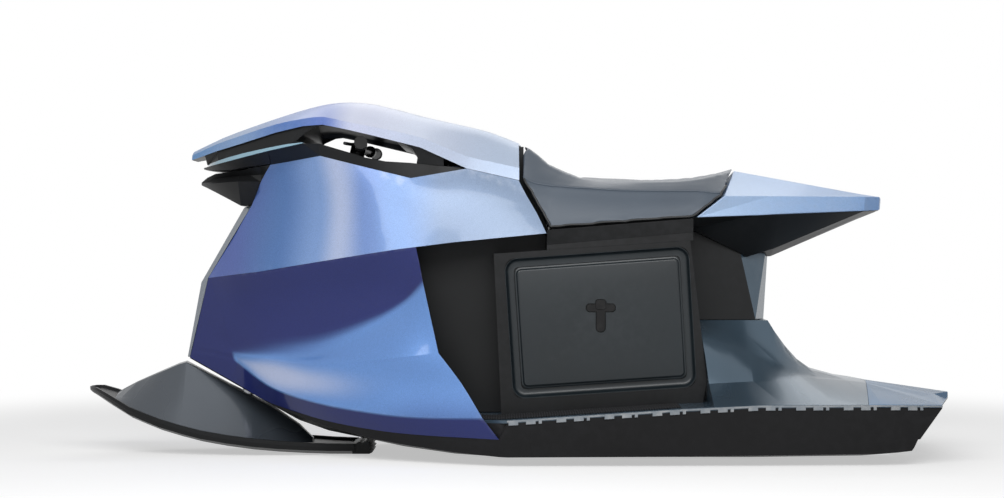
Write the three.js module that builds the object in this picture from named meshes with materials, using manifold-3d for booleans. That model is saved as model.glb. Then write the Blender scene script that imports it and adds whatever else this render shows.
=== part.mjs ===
// Electric personal watercraft with a steered front ski and a jet drive.
// Millimetres; +X is forward, +Y is port, +Z is up; the floor is Z = 0.
import * as THREE from 'three';
import { ConvexGeometry } from 'three/addons/geometries/ConvexGeometry.js';
import Module from 'manifold-3d';

const wasm = await Module();
wasm.setup();

// ---------------------------------------------------------------- driving sizes

// The form tables below are drawn at 2700 x 890 x 1096; these three sizes stretch them.
const LENGTH = 2700;
const BEAM = 890;
const HEIGHT = 1096;
const DRAWN = { length: 2700, beam: 890, height: 1096 };

const GAP = 0.3;            // between pieces that touch
const RUNNING = 6;          // between pieces that move past each other
const WING_WALL = 16;       // leg shield
const DECK_LIP = 9;         // deck edge above the hull edge
const SECTION_FACE = 262;   // battery section, half its width
const NECK_HALF = 100;      // rear pillar, half its width
const HATCH_THICK = 20;
const HATCH_PROUD = 5;
const HATCH_CORNER = 26;
const HATCH_RIM = 14;       // ledge that the closed hatch rests on
const HATCH_CHAMFER = 9;
const GROOVE = 29;          // drained groove round the hatch
const LATCH_POCKET = 11;    // depth of the pocket that the latch folds into
const LATCH_ROOM = 3;       // round the latch in its pocket
const MAT_THICK = 4;
const RAIL_DEPTH = 4;
const GRIP_RADIUS = 17;
const GRIP_FLANGE = 20;
const POD_RADIUS = 19;      // switch pod
const LEVER_RADIUS = 5;
const STEM_RADIUS = 24;
const STEM_DEPTH = 50;      // handlebar stem below the bar, down into the console
const STEM_FIT = 0.8;       // round the stem in its bore
const BAR_RADIUS = 11;
const GRIP_LENGTH = 125;
const GRIP_END = 349;       // grip ends, each side of the middle
const JET_RADIUS = 58;      // pump bore
const JET_WALL = 5;
const NOZZLE_RADIUS = 38;
const SHAFT_RADIUS = 12;
const IMPELLER_TIP_GAP = 8;
const SPINDLE_RADIUS = 19;
const SKI_RAKE = 27.5;      // ski axis, degrees back from upright
const BAR_RAKE = 13.5;      // handlebar axis, degrees back from upright

const along = (mm) => mm * LENGTH / DRAWN.length;
const across = (mm) => mm * BEAM / DRAWN.beam;
const up = (mm) => mm * HEIGHT / DRAWN.height;
const place = (x, y, z) => new THREE.Vector3(along(x), across(y), up(z));

// ---------------------------------------------------------------- solids from points

// One closed body from corner points and triangles; equal corners become one,
// and the faces are turned outwards.
function closedBody(corners, triangles) {
  const seen = new Map();
  const index = corners.map((corner) => {
    const key = [corner.x, corner.y, corner.z].map((n) => Math.round(n * 1e4)).join();
    if (!seen.has(key)) seen.set(key, seen.size);
    return seen.get(key);
  });
  const kept = [...seen.keys()].map((key) => key.split(',').map((n) => Number(n) / 1e4));
  let faces = triangles.map((triangle) => triangle.map((corner) => index[corner]));
  faces = faces.filter(([a, b, c]) => a !== b && b !== c && c !== a);
  let sixVolumes = 0;
  for (const [a, b, c] of faces) {
    const [p, q, r] = [a, b, c].map((corner) => new THREE.Vector3(...kept[corner]));
    sixVolumes += p.dot(q.cross(r));
  }
  if (sixVolumes < 0) faces = faces.map(([a, b, c]) => [a, c, b]);
  const geometry = new THREE.BufferGeometry();
  const positions = new Float32Array(faces.flat().flatMap((corner) => kept[corner]));
  geometry.setAttribute('position', new THREE.BufferAttribute(positions, 3));
  geometry.computeVertexNormals();
  return geometry;
}

// Triangles that fill one ring of points, seen along its mean normal. Each step takes
// the best-shaped ear, so points on a straight edge keep their place in the mesh.
function fillRing(ring) {
  const normal = new THREE.Vector3();
  ring.forEach((point, i) => {
    const next = ring[(i + 1) % ring.length];
    normal.add(new THREE.Vector3().crossVectors(point, next));
  });
  normal.normalize();
  const turn = new THREE.Quaternion().setFromUnitVectors(normal, new THREE.Vector3(0, 0, 1));
  const flat = ring.map((point) => point.clone().applyQuaternion(turn));
  const doubleArea = (a, b, c) => (flat[b].x - flat[a].x) * (flat[c].y - flat[a].y)
    - (flat[c].x - flat[a].x) * (flat[b].y - flat[a].y);
  const side = (a, b) => Math.hypot(flat[b].x - flat[a].x, flat[b].y - flat[a].y);
  const left = ring.map((_, i) => i)
    .filter((i) => ring[i].distanceTo(ring[(i + 1) % ring.length]) > 1e-3);
  const triangles = [];
  while (left.length > 3) {
    let best = { score: -Infinity, at: 0 };
    left.forEach((tip, i) => {
      const before = left[(i + left.length - 1) % left.length];
      const after = left[(i + 1) % left.length];
      const area = doubleArea(before, tip, after);
      const blocked = left.some((other) => ![before, tip, after].includes(other)
        && doubleArea(before, tip, other) > -1e-6 && doubleArea(tip, after, other) > -1e-6
        && doubleArea(after, before, other) > -1e-6);
      const longest = Math.max(side(before, tip), side(tip, after), side(after, before));
      const score = area / longest ** 2 - (blocked ? 10 : 0);
      if (score > best.score) best = { score, at: i };
    });
    const count = left.length;
    const tip = best.at;
    triangles.push([left[(tip + count - 1) % count], left[tip], left[(tip + 1) % count]]);
    left.splice(tip, 1);
  }
  triangles.push(left);
  return triangles;
}

// A body through rings with equal counts of points, closed at both ends.
function loft(rings) {
  const count = rings[0].length;
  const faces = [];
  for (let ring = 0; ring < rings.length - 1; ring += 1) {
    for (let i = 0; i < count; i += 1) {
      const a = ring * count + i;
      const b = ring * count + (i + 1) % count;
      faces.push([a, b, b + count], [a, b + count, a + count]);
    }
  }
  const last = (rings.length - 1) * count;
  fillRing(rings[0]).forEach(([a, b, c]) => faces.push([c, b, a]));
  fillRing(rings.at(-1)).forEach(([a, b, c]) => faces.push([last + a, last + b, last + c]));
  return closedBody(rings.flat(), faces);
}

// A body that is the same to port and starboard. Each half ring runs from its
// lowest point on the centre plane to its highest one; both sides are filled alike.
function twinLoft(halfRings) {
  const half = halfRings[0].length;
  const corners = [];
  halfRings.forEach((ring) => {
    ring.forEach((point) => corners.push(point));
    ring.forEach((point) => corners.push(new THREE.Vector3(point.x, -point.y, point.z)));
  });
  const faces = [];
  const both = (ringA, a, ringB, b, ringC, c) => {
    const corner = (ring, i, side) => ring * 2 * half + side * half + i;
    faces.push([corner(ringA, a, 0), corner(ringB, b, 0), corner(ringC, c, 0)]);
    faces.push([corner(ringA, a, 1), corner(ringC, c, 1), corner(ringB, b, 1)]);
  };
  for (let ring = 0; ring < halfRings.length - 1; ring += 1) {
    for (let i = 0; i < half - 1; i += 1) {
      both(ring, i, ring, i + 1, ring + 1, i + 1);
      both(ring, i, ring + 1, i + 1, ring + 1, i);
    }
  }
  const end = halfRings.length - 1;
  fillRing(halfRings[0]).forEach(([a, b, c]) => both(0, c, 0, b, 0, a));
  fillRing(halfRings[end]).forEach(([a, b, c]) => both(end, a, end, b, end, c));
  return closedBody(corners, faces);
}

// A body between an outer and an inner grid of points.
function slab(outer, inner) {
  const rows = outer.length;
  const columns = outer[0].length;
  const back = rows * columns;
  const corner = (row, column) => row * columns + column;
  const faces = [];
  for (let row = 0; row < rows - 1; row += 1) {
    for (let column = 0; column < columns - 1; column += 1) {
      const a = corner(row, column);
      const b = corner(row, column + 1);
      const c = corner(row + 1, column + 1);
      const d = corner(row + 1, column);
      faces.push([a, b, c], [a, c, d]);
      faces.push([back + a, back + c, back + b], [back + a, back + d, back + c]);
    }
  }
  const rim = [];
  for (let column = 0; column < columns - 1; column += 1) rim.push(corner(0, column));
  for (let row = 0; row < rows - 1; row += 1) rim.push(corner(row, columns - 1));
  for (let column = columns - 1; column > 0; column -= 1) rim.push(corner(rows - 1, column));
  for (let row = rows - 1; row > 0; row -= 1) rim.push(corner(row, 0));
  rim.forEach((a, i) => {
    const b = rim[(i + 1) % rim.length];
    faces.push([b, a, back + a], [b, back + a, back + b]);
  });
  return closedBody([...outer.flat(), ...inner.flat()], faces);
}

function mirrored(geometry) {
  const flipped = geometry.clone().scale(1, -1, 1);
  const array = flipped.attributes.position.array;
  for (let i = 0; i < array.length; i += 9) {
    for (let k = 0; k < 3; k += 1) {
      [array[i + 3 + k], array[i + 6 + k]] = [array[i + 6 + k], array[i + 3 + k]];
    }
  }
  flipped.computeVertexNormals();
  return flipped;
}

function toManifold(geometry) {
  const position = geometry.attributes.position;
  const order = geometry.index ? [...geometry.index.array] : [...Array(position.count).keys()];
  const seen = new Map();
  const vertices = [];
  const corners = order.map((i) => {
    const point = [position.getX(i), position.getY(i), position.getZ(i)];
    const key = point.map((n) => Math.round(n * 1e4)).join();
    if (!seen.has(key)) {
      seen.set(key, seen.size);
      vertices.push(...point);
    }
    return seen.get(key);
  });
  const triangles = [];
  for (let i = 0; i < corners.length; i += 3) {
    const [a, b, c] = corners.slice(i, i + 3);
    if (a !== b && b !== c && c !== a) triangles.push(a, b, c);
  }
  const mesh = new wasm.Mesh({
    numProp: 3,
    vertProperties: new Float32Array(vertices),
    triVerts: new Uint32Array(triangles),
  });
  return new wasm.Manifold(mesh);
}

function toGeometry(manifold) {
  const { vertProperties, triVerts } = manifold.getMesh();
  const geometry = new THREE.BufferGeometry();
  const positions = new Float32Array(triVerts.length * 3);
  triVerts.forEach((vertex, i) => {
    positions.set(vertProperties.subarray(vertex * 3, vertex * 3 + 3), i * 3);
  });
  geometry.setAttribute('position', new THREE.BufferAttribute(positions, 3));
  geometry.computeVertexNormals();
  return geometry;
}

const combine = (operation) => (first, ...others) => toGeometry(
  others.reduce((body, other) => body[operation](toManifold(other)), toManifold(first)),
);
const cut = combine('subtract');
const join = combine('add');
const common = combine('intersect');

// ---------------------------------------------------------------- common shapes

function box(low, high) {
  const size = high.clone().sub(low);
  const centre = high.clone().add(low).multiplyScalar(0.5);
  return new THREE.BoxGeometry(size.x, size.y, size.z).translate(centre.x, centre.y, centre.z);
}

// A flat outline in the side view (x, z), pushed out from y = from to y = to.
function sidePlate(outline, from, to) {
  const shape = outline instanceof THREE.Shape ? outline
    : new THREE.Shape(outline.map(([x, z]) => new THREE.Vector2(x, z)));
  const geometry = new THREE.ExtrudeGeometry(shape, {
    depth: to - from, bevelEnabled: false, curveSegments: 6,
  });
  return geometry.rotateX(Math.PI / 2).translate(0, to, 0);
}

// Straight-sided outline with its corners rounded to arcs.
function roundedShape(corners, radius) {
  const shape = new THREE.Shape();
  corners.forEach(([x, y], i) => {
    const here = new THREE.Vector2(x, y);
    const before = new THREE.Vector2(...corners[(i + corners.length - 1) % corners.length]);
    const after = new THREE.Vector2(...corners[(i + 1) % corners.length]);
    const towards = (other) => here.clone().add(other.sub(here).setLength(radius));
    const enter = towards(before);
    const leave = towards(after);
    if (i === 0) shape.moveTo(enter.x, enter.y);
    else shape.lineTo(enter.x, enter.y);
    shape.quadraticCurveTo(here.x, here.y, leave.x, leave.y);
  });
  shape.closePath();
  return shape;
}

// The outline moved inwards by a margin (outwards if it is negative).
function insetOutline(corners, margin) {
  const points = corners.map(([x, y]) => new THREE.Vector2(x, y));
  const clockwise = THREE.ShapeUtils.isClockWise(points) ? -1 : 1;
  const edges = points.map((point, i) => {
    const next = points[(i + 1) % points.length];
    const direction = next.clone().sub(point).normalize();
    const inward = new THREE.Vector2(-direction.y, direction.x).multiplyScalar(clockwise * margin);
    return { start: point.clone().add(inward), direction };
  });
  return edges.map((edge, i) => {
    const before = edges[(i + edges.length - 1) % edges.length];
    const between = edge.start.clone().sub(before.start);
    const share = between.cross(edge.direction) / before.direction.cross(edge.direction);
    const corner = before.start.clone().addScaledVector(before.direction, share);
    return [corner.x, corner.y];
  });
}

// A round bar from one point to another.
function bar(from, to, radius, sides = 16, endRadius = radius) {
  const direction = to.clone().sub(from);
  const geometry = new THREE.CylinderGeometry(endRadius, radius, direction.length(), sides);
  const turn = new THREE.Quaternion()
    .setFromUnitVectors(new THREE.Vector3(0, 1, 0), direction.normalize());
  const middle = from.clone().add(to).multiplyScalar(0.5);
  return geometry.applyQuaternion(turn).translate(middle.x, middle.y, middle.z);
}

// Values of a table row found between its stations; the first column is the station.
function at(table, station) {
  const rows = [...table].sort((a, b) => a[0] - b[0]);
  const above = rows.findIndex((row) => row[0] >= station);
  if (above === 0) return rows[0].slice(1);
  if (above < 0) return rows.at(-1).slice(1);
  const [low, high] = [rows[above - 1], rows[above]];
  const share = (station - low[0]) / (high[0] - low[0]);
  return low.slice(1).map((value, i) => value + (high[i + 1] - value) * share);
}

// A smooth line through points, each span in equal parts; it may turn sharply at some.
function smoothLine(points, parts, sharp = []) {
  const line = [points[0].clone()];
  let start = 0;
  for (let i = 1; i < points.length; i += 1) {
    if (i === points.length - 1 || sharp.includes(i)) {
      const run = points.slice(start, i + 1);
      const curve = run.length > 2
        ? new THREE.CatmullRomCurve3(run, false, 'centripetal') : new THREE.LineCurve3(...run);
      const steps = (run.length - 1) * parts;
      for (let k = 1; k <= steps; k += 1) line.push(curve.getPoint(k / steps));
      start = i;
    }
  }
  return line;
}

// A grid of points made finer and smooth, first along its rows and then down its columns.
// The straight rows keep to straight lines, to fit the piece that they meet.
function smoothGrid(columns, { sideways, down, straight }) {
  const everyColumn = columns.map((_, i) => i);
  const rows = columns[0].map((_, row) => smoothLine(
    columns.map((column) => column[row]), sideways.parts,
    straight.includes(row) ? everyColumn : sideways.sharp,
  ));
  return rows[0].map((_, i) => (
    smoothLine(rows.map((row) => row[i]), down.parts, down.sharp)
  ));
}

// ---------------------------------------------------------------- lines of the craft

// Hull: station x, keel z, keel pad half width, chine y, z, edge y, z, floor z.
const HULL_LINES = [
  [-1240, 15, 150, 397, 45, 400, 171, 171],
  [-1050, 5, 150, 415, 38, 425, 174, 174],
  [-700, 0, 150, 425, 34, 440, 174, 174],
  [-480, 0, 150, 428, 32, 445, 164, 164],
  [40, 0, 150, 430, 29, 445, 130, 130],
  [64, 1, 150, 428, 30, 440, 82, 128],
  [200, 8, 125, 385, 40, 390, 84, 127],
  [359, 27, 90, 325, 58, 335, 90, 127],
  [430, 40, 72, 295, 68, 304, 97, 127],
  [440, 42, 70, 291, 70, 300, 98, 98],
  [597, 72, 45, 229, 106, 235, 122, 122],
  [691, 104, 34, 186, 135, 190, 144, 144],
  [762, 152, 28, 147, 160, 150, 165, 165],
  [893, 222, 18, 88, 226, 90, 230, 230],
  [1032, 293, 8, 34, 297, 36, 300, 300],
];
// How far the stern's middle lies behind its corners, at the edge and at the keel.
const STERN_POINT = { edge: 110, chine: 60, rake: 89 };

// Deck top behind the battery section: x, crease y, z, hip y, z, ridge y, z, middle z.
const REAR_DECK_LINES = [
  [-1240, 130, 186, 95, 187, 60, 188, 190],
  [-1060, 152, 229, 126, 230, 80, 231, 232],
  [-1000, 178, 236, 140, 238, 85, 240, 242],
  [-909, 205, 243, 160, 248, 92, 263, 267],
  [-859, 226, 244, 166, 260, 94, 298, 303],
  [-821, 243, 243, 166, 276, 96, 340, 345],
  [-790, 254, 242.5, 164, 292, 98, 383, 387],
  [-768, 262, 242, 162, 304, 100, 418, 420],
  [-700, 278, 241, 176, 326, 100, 419, 420],
  [-640, 288, 239, 205, 345, 100, 419, 420],
  [-564.6, 300, 236, 252, 372, 100, 419, 420],
];

// Battery section in the side view (x, z), and where the floor carries it.
const SECTION_OUTLINE = { foreTop: [80, 625], aftTop: [-512, 664], aftKnee: [-563, 243] };
const SECTION_FOOT = [-550, -480, 40, 57];
const HATCH_OUTLINE = [[19, 582], [-481, 618], [-502, 250], [-5, 217]];

// Lower side panel, front edge to rear edge: waist, undercut, feature line, flare,
// chine, foot.
const LOWER_PANEL = [
  [
    [968, 78, 549], [991.5, 62, 455], [1020.5, 43, 340], [1024.5, 40, 325], [1028, 38.5, 314],
    [1032, 36, 300],
  ],
  [[962, 82.4, 549.7], [925, 100, 440], [880, 110, 312], [876, 109, 302], [872, 108, 292], [893, 90, 230]],
  [[800, 200, 569], [785, 170, 470], [770, 184, 300], [764, 176, 262], [758, 182, 220], [762, 150, 165]],
  [[610, 270, 600], [610, 228, 490], [630, 258, 290], [622, 244, 236], [612, 256, 178], [597, 235, 122]],
  [[440, 324, 627], [445, 272, 510], [470, 318, 303], [462, 304, 232], [450, 322, 154], [440, 300, 98]],
  [[360, 337, 639], [352, 294, 525], [352, 352, 318], [325, 344, 240], [300, 378, 143], [300, 358, 88]],
  [[311, 340, 645], [292, 326, 540], [243, 366, 331], [174, 396, 242], [113, 440, 146], [64, 440, 82]],
];
const LOWER_PARTS = {
  sideways: { parts: 2, sharp: [1] }, down: { parts: 2, sharp: [2, 4] }, straight: [0, 5],
};
const WING_FROM = 4;        // the leg shield is thin from this row of the table aft

// Upper side panel, front edge to rear edge: top edge, shoulder, middle, waist.
const UPPER_PANEL = [
  [[763, 180, 896], [798, 130, 846], [831, 90, 775], [968, 78, 549]],
  [[700, 207, 905], [712, 182, 850], [735, 158, 780], [930, 105.6, 553.5]],
  [[650, 230, 913], [660, 208, 850], [680, 192, 780], [800, 200, 569]],
  [[604, 250, 920], [595, 238, 850], [590, 238, 780], [610, 270, 600]],
  [[470, 275, 886], [460, 286, 830], [445, 300, 760], [440, 324, 627]],
  [[400, 287, 869], [388, 300, 815], [370, 314, 745], [360, 337, 639]],
  [[328, 300, 851], [306, 315, 806], [292, 325, 748], [311, 340, 645]],
  [[162, 270, 881], [168, 298, 820], [178, 314, 750], [200, 328, 659]],
  [[5, 250, 846], [-20, 260, 798], [-49, 271, 748], [-78, 292, 686]],
];
const UPPER_PARTS = {
  sideways: { parts: 2, sharp: [6] }, down: { parts: 2, sharp: [] }, straight: [0, 3],
};

// Hidden core between the side panels: x, half width, underside z, top z.
const CORE_LINES = [
  [-79.2, 150, 600, 680], [-72, 150, 600, 700], [7, 150, 600, 846], [45, 150, 600, 855], [49, 150, 139, 856],
  [162, 150, 139, 881], [328, 150, 139, 851], [441, 150, 139, 878], [470, 150, 106, 886],
  [604, 150, 126, 920], [700, 115, 149, 905], [763, 94, 168, 896], [831, 72, 202, 775],
  [935, 36, 262, 549], [985, 20, 290, 390],
];

// Hood: x, lower edge y, z, shoulder y, z, ridge y, z, middle z.
const HOOD_LINES = [
  [1022, 60, 915, 52, 930, 20, 942, 944],
  [930, 150, 939, 138, 962, 50, 982, 988],
  [843, 220, 959, 207, 985, 80, 1012, 1020],
  [735, 290, 987, 276, 1013, 110, 1046, 1056],
  [649, 330, 1004, 317, 1027, 130, 1070, 1080],
  [588, 340, 1008, 328, 1032, 140, 1082, 1092],
  [524, 345, 995, 334, 1018, 140, 1086, 1095.4],
  [443, 350, 976, 336, 1002, 140, 1078, 1088],
  [299, 330, 941, 312, 972, 130, 1042, 1052],
  [162, 270, 881, 258, 918, 120, 1010, 1020],
  [93, 262, 866, 250, 903, 110, 994, 1002],
  [3, 250, 846, 239, 884, 95, 962, 968],
];
const HOOD_PARTS = 2;
const HOOD_WALL = 12;
const LINER_WALL = 8;

// Hand tunnel under the hood in the side view: the liner's opening, and where it is hollow.
const TUNNEL_OUTLINE = [
  [672, 962], [640, 988], [606, 1004], [575, 1008], [524, 1000], [443, 980], [354, 957],
  [322, 938], [308, 912], [314, 880], [560, 880], [604, 951],
];
const TUNNEL_HOLLOW = { fore: 660, aft: 330 };

// Console under the hood: x, foot half width, foot z, brow half width, brow z.
const CONSOLE_LINES = [
  [175, 268, 879, 266, 884], [250, 285, 865, 284, 889], [328, 298, 851, 296, 897],
  [405, 288, 870, 288, 902], [470, 275, 886, 278, 915], [510, 268, 896, 276, 928],
  [585, 254, 915, 276, 950], [604, 250, 920, 280, 956], [650, 230, 913, 300, 954],
  [700, 207, 905, 284, 945], [760, 182, 896.5, 258, 933],
];

// Lamp round the nose: x, outer y, low z, high z.
const LAMP_LINES = [
  [650, 322, 954.5, 957], [700, 296, 945.5, 953], [765, 262, 933.5, 943], [843, 208, 918, 930],
  [890, 174, 908, 920], [930, 132, 901, 911], [957, 88, 897, 905], [976, 40, 895, 901],
  [981, 0, 894.5, 900],
];
const LAMP_DEPTH = 9;

// Upper blade of the nose: x, foot half width, foot z, brow half width.
const BLADE_LINES = [
  [761, 186, 899, 258], [843, 160, 888, 206], [890, 140, 880, 172], [930, 104, 881, 130],
  [960, 66, 883, 84], [982, 30, 886, 38], [992, 6, 889, 8],
];
const BLADE_LIP = { out: 7, rise: 1.6 };

// Lower wedge of the nose: x, foot y, z, widest y, z, waist y, z, brow y, z.
const WEDGE_LINES = [
  [764, 88, 778, 150, 870, 176, 890, 178, 896],
  [798, 88, 778, 128, 846, 126, 868, 150, 892],
  [831, 88, 777, 146, 846, 120, 866, 148, 886],
  [866, 84, 773, 148, 846, 112, 866, 138, 879],
  [905, 62, 793, 120, 845, 88, 862, 112, 876],
  [945, 38, 813, 84, 843, 58, 858, 78, 873],
  [978, 20, 829, 46, 841, 28, 851, 34, 862],
  [1000, 4, 839, 10, 842, 7, 845, 6, 848],
];

// Tail cowl rings, front to back: waist corner, side crease, ridge.
const TAIL_RINGS = [
  [[-530, 272, 734], [-614, 262, 798], [-676, 0, 885]],
  [[-725, 240, 741], [-760, 222, 799], [-790, 0, 864]],
  [[-1060, 130, 756], [-1064, 136, 800], [-1080, 0, 811]],
  [[-1118, 70, 760], [-1120, 74, 801], [-1130, 0, 803]],
  [[-1128, 34, 762], [-1130, 38, 797], [-1134, 0, 799]],
];
// Under the tail: x, waist y, z, crease y, crease z, keel z.
const TAIL_KEEL_LINES = [
  [-523, 271, 733.5, 150, 702, 699], [-704, 243, 740, 100, 615, 611.5],
  [-790, 225, 744, 70, 640, 616], [-1060, 130, 756, 44, 740, 732], [-1118, 70, 760, 24, 757, 755],
];

// Ski board: x, underside z, half width, thickness.
const SKI_LINES = [
  [1350, 196, 10, 12], [1338, 189, 36, 20], [1318, 180, 64, 27], [1280, 158, 98, 34],
  [1240, 135, 119, 37], [1204, 114, 132, 38], [1155, 94, 142, 39], [1109, 76, 148, 40],
  [1045, 57, 150, 40], [983, 41, 150, 40], [905, 27, 149, 40], [825, 16, 145, 40],
  [750, 9, 136, 39], [667, 4, 126, 38], [590, 1, 113, 37], [512, 0, 102, 36],
];
const SKI_DISH = 9;         // rim of the board above its floor
// Toothed wiper at the ski's heel, in the side view.
const HEEL_OUTLINE = [
  [520, 3], [467, 3], [457, 8], [469, 13], [455, 19], [468, 24], [457, 30], [471, 34],
  [463, 38], [478, 42], [490, 37], [498, 41], [508, 36], [520, 33],
];
const HEEL_HALF = 88;
// Ski cowl: x, foot half width, top half width, top z.
const SKI_COWL_LINES = [
  [1262, 62, 5, 190], [1240, 84, 6, 203], [1204, 104, 8, 222], [1155, 116, 11, 244],
  [1109, 122, 14, 264], [1070, 126, 18, 281], [1046, 127, 22, 288], [983, 128, 28, 255],
  [905, 127, 34, 214], [850, 124, 36, 186], [825, 112, 34, 173], [779, 94, 30, 149],
  [691, 60, 24, 90], [648, 36, 14, 48],
];
const SKI_AXIS_POINT = [850, 0, 200];
const BAR_AXIS_POINT = [507, 0, 955];
const SADDLE_HINGE = { high: 964, radius: 4, half: 60 };

// ---------------------------------------------------------------- hull and deck

// Half ring points shared by the hull's top and the deck's underside.
function deckJoint([x, , , , , edgeY, edgeZ, floorZ], stern) {
  const ledgeY = edgeY - across(WING_WALL) - 3;
  const middleX = stern ? x - STERN_POINT.edge : x;
  return [
    place(middleX, 0, floorZ),
    place(x, ledgeY, floorZ),
    place(x, ledgeY, edgeZ),
    place(x, edgeY, edgeZ),
  ];
}

function hullBody() {
  const rings = HULL_LINES.map((row, i) => {
    const [x, keelZ, padY, chineY, chineZ] = row;
    const stern = i === 0;
    const chineX = stern ? x + STERN_POINT.rake : x;
    const keelX = stern ? chineX - STERN_POINT.chine : x;
    const padX = stern ? chineX - STERN_POINT.chine / 2 : x;
    const top = deckJoint(row, stern).reverse();
    return [place(keelX, 0, keelZ), place(padX, padY, keelZ), place(chineX, chineY, chineZ), ...top];
  });
  return twinLoft(rings);
}

// Small step across the transom, below the waterline.
function transomStep() {
  const outline = [[-1400, 79], [-1169, 79], [-1151, 40], [-1140, -10], [-1400, -10]];
  return sidePlate(outline.map(([x, z]) => [along(x), up(z)]), -across(500), across(500));
}

const FLOOR_AFT_OF = 430;
// The battery section's rear face, which the deck's hump follows.
function sectionAft(z) {
  const [topX, topZ] = SECTION_OUTLINE.aftTop;
  const [kneeX, kneeZ] = SECTION_OUTLINE.aftKnee;
  return z < kneeZ ? kneeX : topX + (kneeX - topX) * (z - topZ) / (kneeZ - topZ);
}

function deckBody() {
  const stations = HULL_LINES.filter(([x]) => x <= FLOOR_AFT_OF);
  const rearStations = REAR_DECK_LINES.map(([x]) => x);
  const humpEnd = rearStations.at(-1);
  const allStations = [...new Set([...stations.map(([x]) => x), ...rearStations])]
    .sort((a, b) => a - b);
  const raise = new THREE.Vector3(0, 0, GAP);
  const rings = [];
  allStations.forEach((x) => {
    const hullRow = [x, ...at(HULL_LINES, x)];
    const stern = x === HULL_LINES[0][0];
    const joint = deckJoint(hullRow, stern).map((point) => point.add(raise));
    const [edgeY, edgeZ, floor] = hullRow.slice(5);
    const inWell = x >= 64;
    const lipY = inWell ? edgeY - across(WING_WALL) - 3 : edgeY;
    const lipZ = (inWell ? floor : edgeZ) + DECK_LIP;
    if (inWell) joint[2].copy(joint[1]);
    if (inWell) joint[3].copy(joint[1]);
    const row = x <= humpEnd ? at(REAR_DECK_LINES, x) : [300, lipZ, 200, lipZ, 100, lipZ, lipZ];
    const [creaseY, creaseZ, hipY, hipZ, ridgeY, ridgeZ, middleZ] = row;
    const middleX = stern ? x - STERN_POINT.edge : x;
    const top = smoothLine([
      place(x, creaseY, creaseZ), place(stern ? (3 * x + middleX) / 4 : x, hipY, hipZ),
      place(stern ? (x + middleX) / 2 : x, ridgeY, ridgeZ),
    ], 2);
    const ring = [...joint, place(x, lipY, lipZ), ...top, place(middleX, 0, middleZ)];
    rings.push(ring);
    if (x === humpEnd) {
      const knee = ring.map((point) => point.clone());
      const step = ring.map((point) => point.clone());
      const kneeZ = SECTION_OUTLINE.aftKnee[1];
      ring.slice(5).forEach((point) => {
        point.x = Math.max(point.x, along(sectionAft(point.z / up(1)) - 1.5));
      });
      knee.slice(5).forEach((point) => {
        point.x = along(humpEnd + 0.2);
        point.z = Math.min(point.z, up(kneeZ - 3));
      });
      step.slice(5).forEach((point) => {
        point.z = up(lipZ);
      });
      step.forEach((point) => point.setX(along(humpEnd + 1)));
      rings.push(knee, step);
    }
  });
  return twinLoft(rings);
}

// Everything aft of the deck's chevron seam.
const SEAM = { edge: -1006, middle: -1088 };
function asternOf(offset) {
  const shape = new THREE.Shape([
    [SEAM.middle + offset, 0], [SEAM.edge + offset, -500], [-1500, -500], [-1500, 500],
    [SEAM.edge + offset, 500],
  ].map(([x, y]) => new THREE.Vector2(along(x), across(y))));
  return new THREE.ExtrudeGeometry(shape, { depth: up(400), bevelEnabled: false });
}

function tractionMat() {
  const rings = [-470, 40, 64, 200, 359].map((x) => {
    const [edgeY, , floor] = at(HULL_LINES, x).slice(4);
    const outer = edgeY - across(WING_WALL) - 3 - 16;
    const low = floor + DECK_LIP;
    const ring = [[276, 0], [outer, 0], [outer, 1], [276, 1]];
    return ring.map(([y, top]) => place(x, y, low).add(new THREE.Vector3(0, 0, GAP + top * MAT_THICK)));
  });
  return loft(rings);
}

// Strip along the joint of hull and deck, with tabs that hold it down: two long, one short.
const RAIL_TABS = [[0, 28], [51, 79], [88, 97]];
const RAIL_PITCH = 140;
const RAIL_DROP = 7;
function rubRail() {
  const railPoint = (x, out, rise) => {
    const [, , , , edgeY, edgeZ] = at(HULL_LINES, x);
    return new THREE.Vector3(along(x), across(edgeY) + GAP + out, up(edgeZ) + rise);
  };
  const piece = (xs, profile) => loft(xs.map((x) => (
    profile.map(([out, rise]) => railPoint(x, out, rise))
  )));
  const strip = piece(
    HULL_LINES.map(([x]) => x).filter((x) => x <= 40), [[0, 2], [3, 3], [3, 7], [0, 8]],
  );
  const tabs = [];
  for (let start = 36; start > -1150; start -= RAIL_PITCH) {
    RAIL_TABS.forEach(([from, to]) => tabs.push(piece(
      [start - to, start - from],
      [[0, -RAIL_DROP], [RAIL_DEPTH, -RAIL_DROP + 1], [RAIL_DEPTH, 6], [0, 6]],
    )));
  }
  return join(strip, ...tabs);
}

const floorZ = (x) => up(at(HULL_LINES, x)[6] + DECK_LIP) + GAP;

// ---------------------------------------------------------------- centre body

function sectionBlock() {
  const { foreTop, aftTop, aftKnee } = SECTION_OUTLINE;
  const outline = [foreTop, aftTop, aftKnee].map(([x, z]) => [along(x), up(z)]);
  SECTION_FOOT.forEach((x) => outline.push([along(x), floorZ(x)]));
  return sidePlate(outline, -across(SECTION_FACE), across(SECTION_FACE));
}

function coreBody(grow = 0) {
  const rings = CORE_LINES.map(([x, halfWidth, low, high]) => {
    const point = (y, z) => new THREE.Vector3(along(x), across(y) + (y ? grow : 0), up(z));
    return [point(0, low), point(halfWidth, low), point(halfWidth, high), point(0, high)];
  });
  rings[0].forEach((point) => point.setX(point.x - grow));
  rings.at(-1).forEach((point) => point.setX(point.x + grow));
  rings.forEach((ring) => ring.forEach((point, i) => {
    point.z += i < 2 ? -grow : grow;
  }));
  return twinLoft(rings);
}

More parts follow.
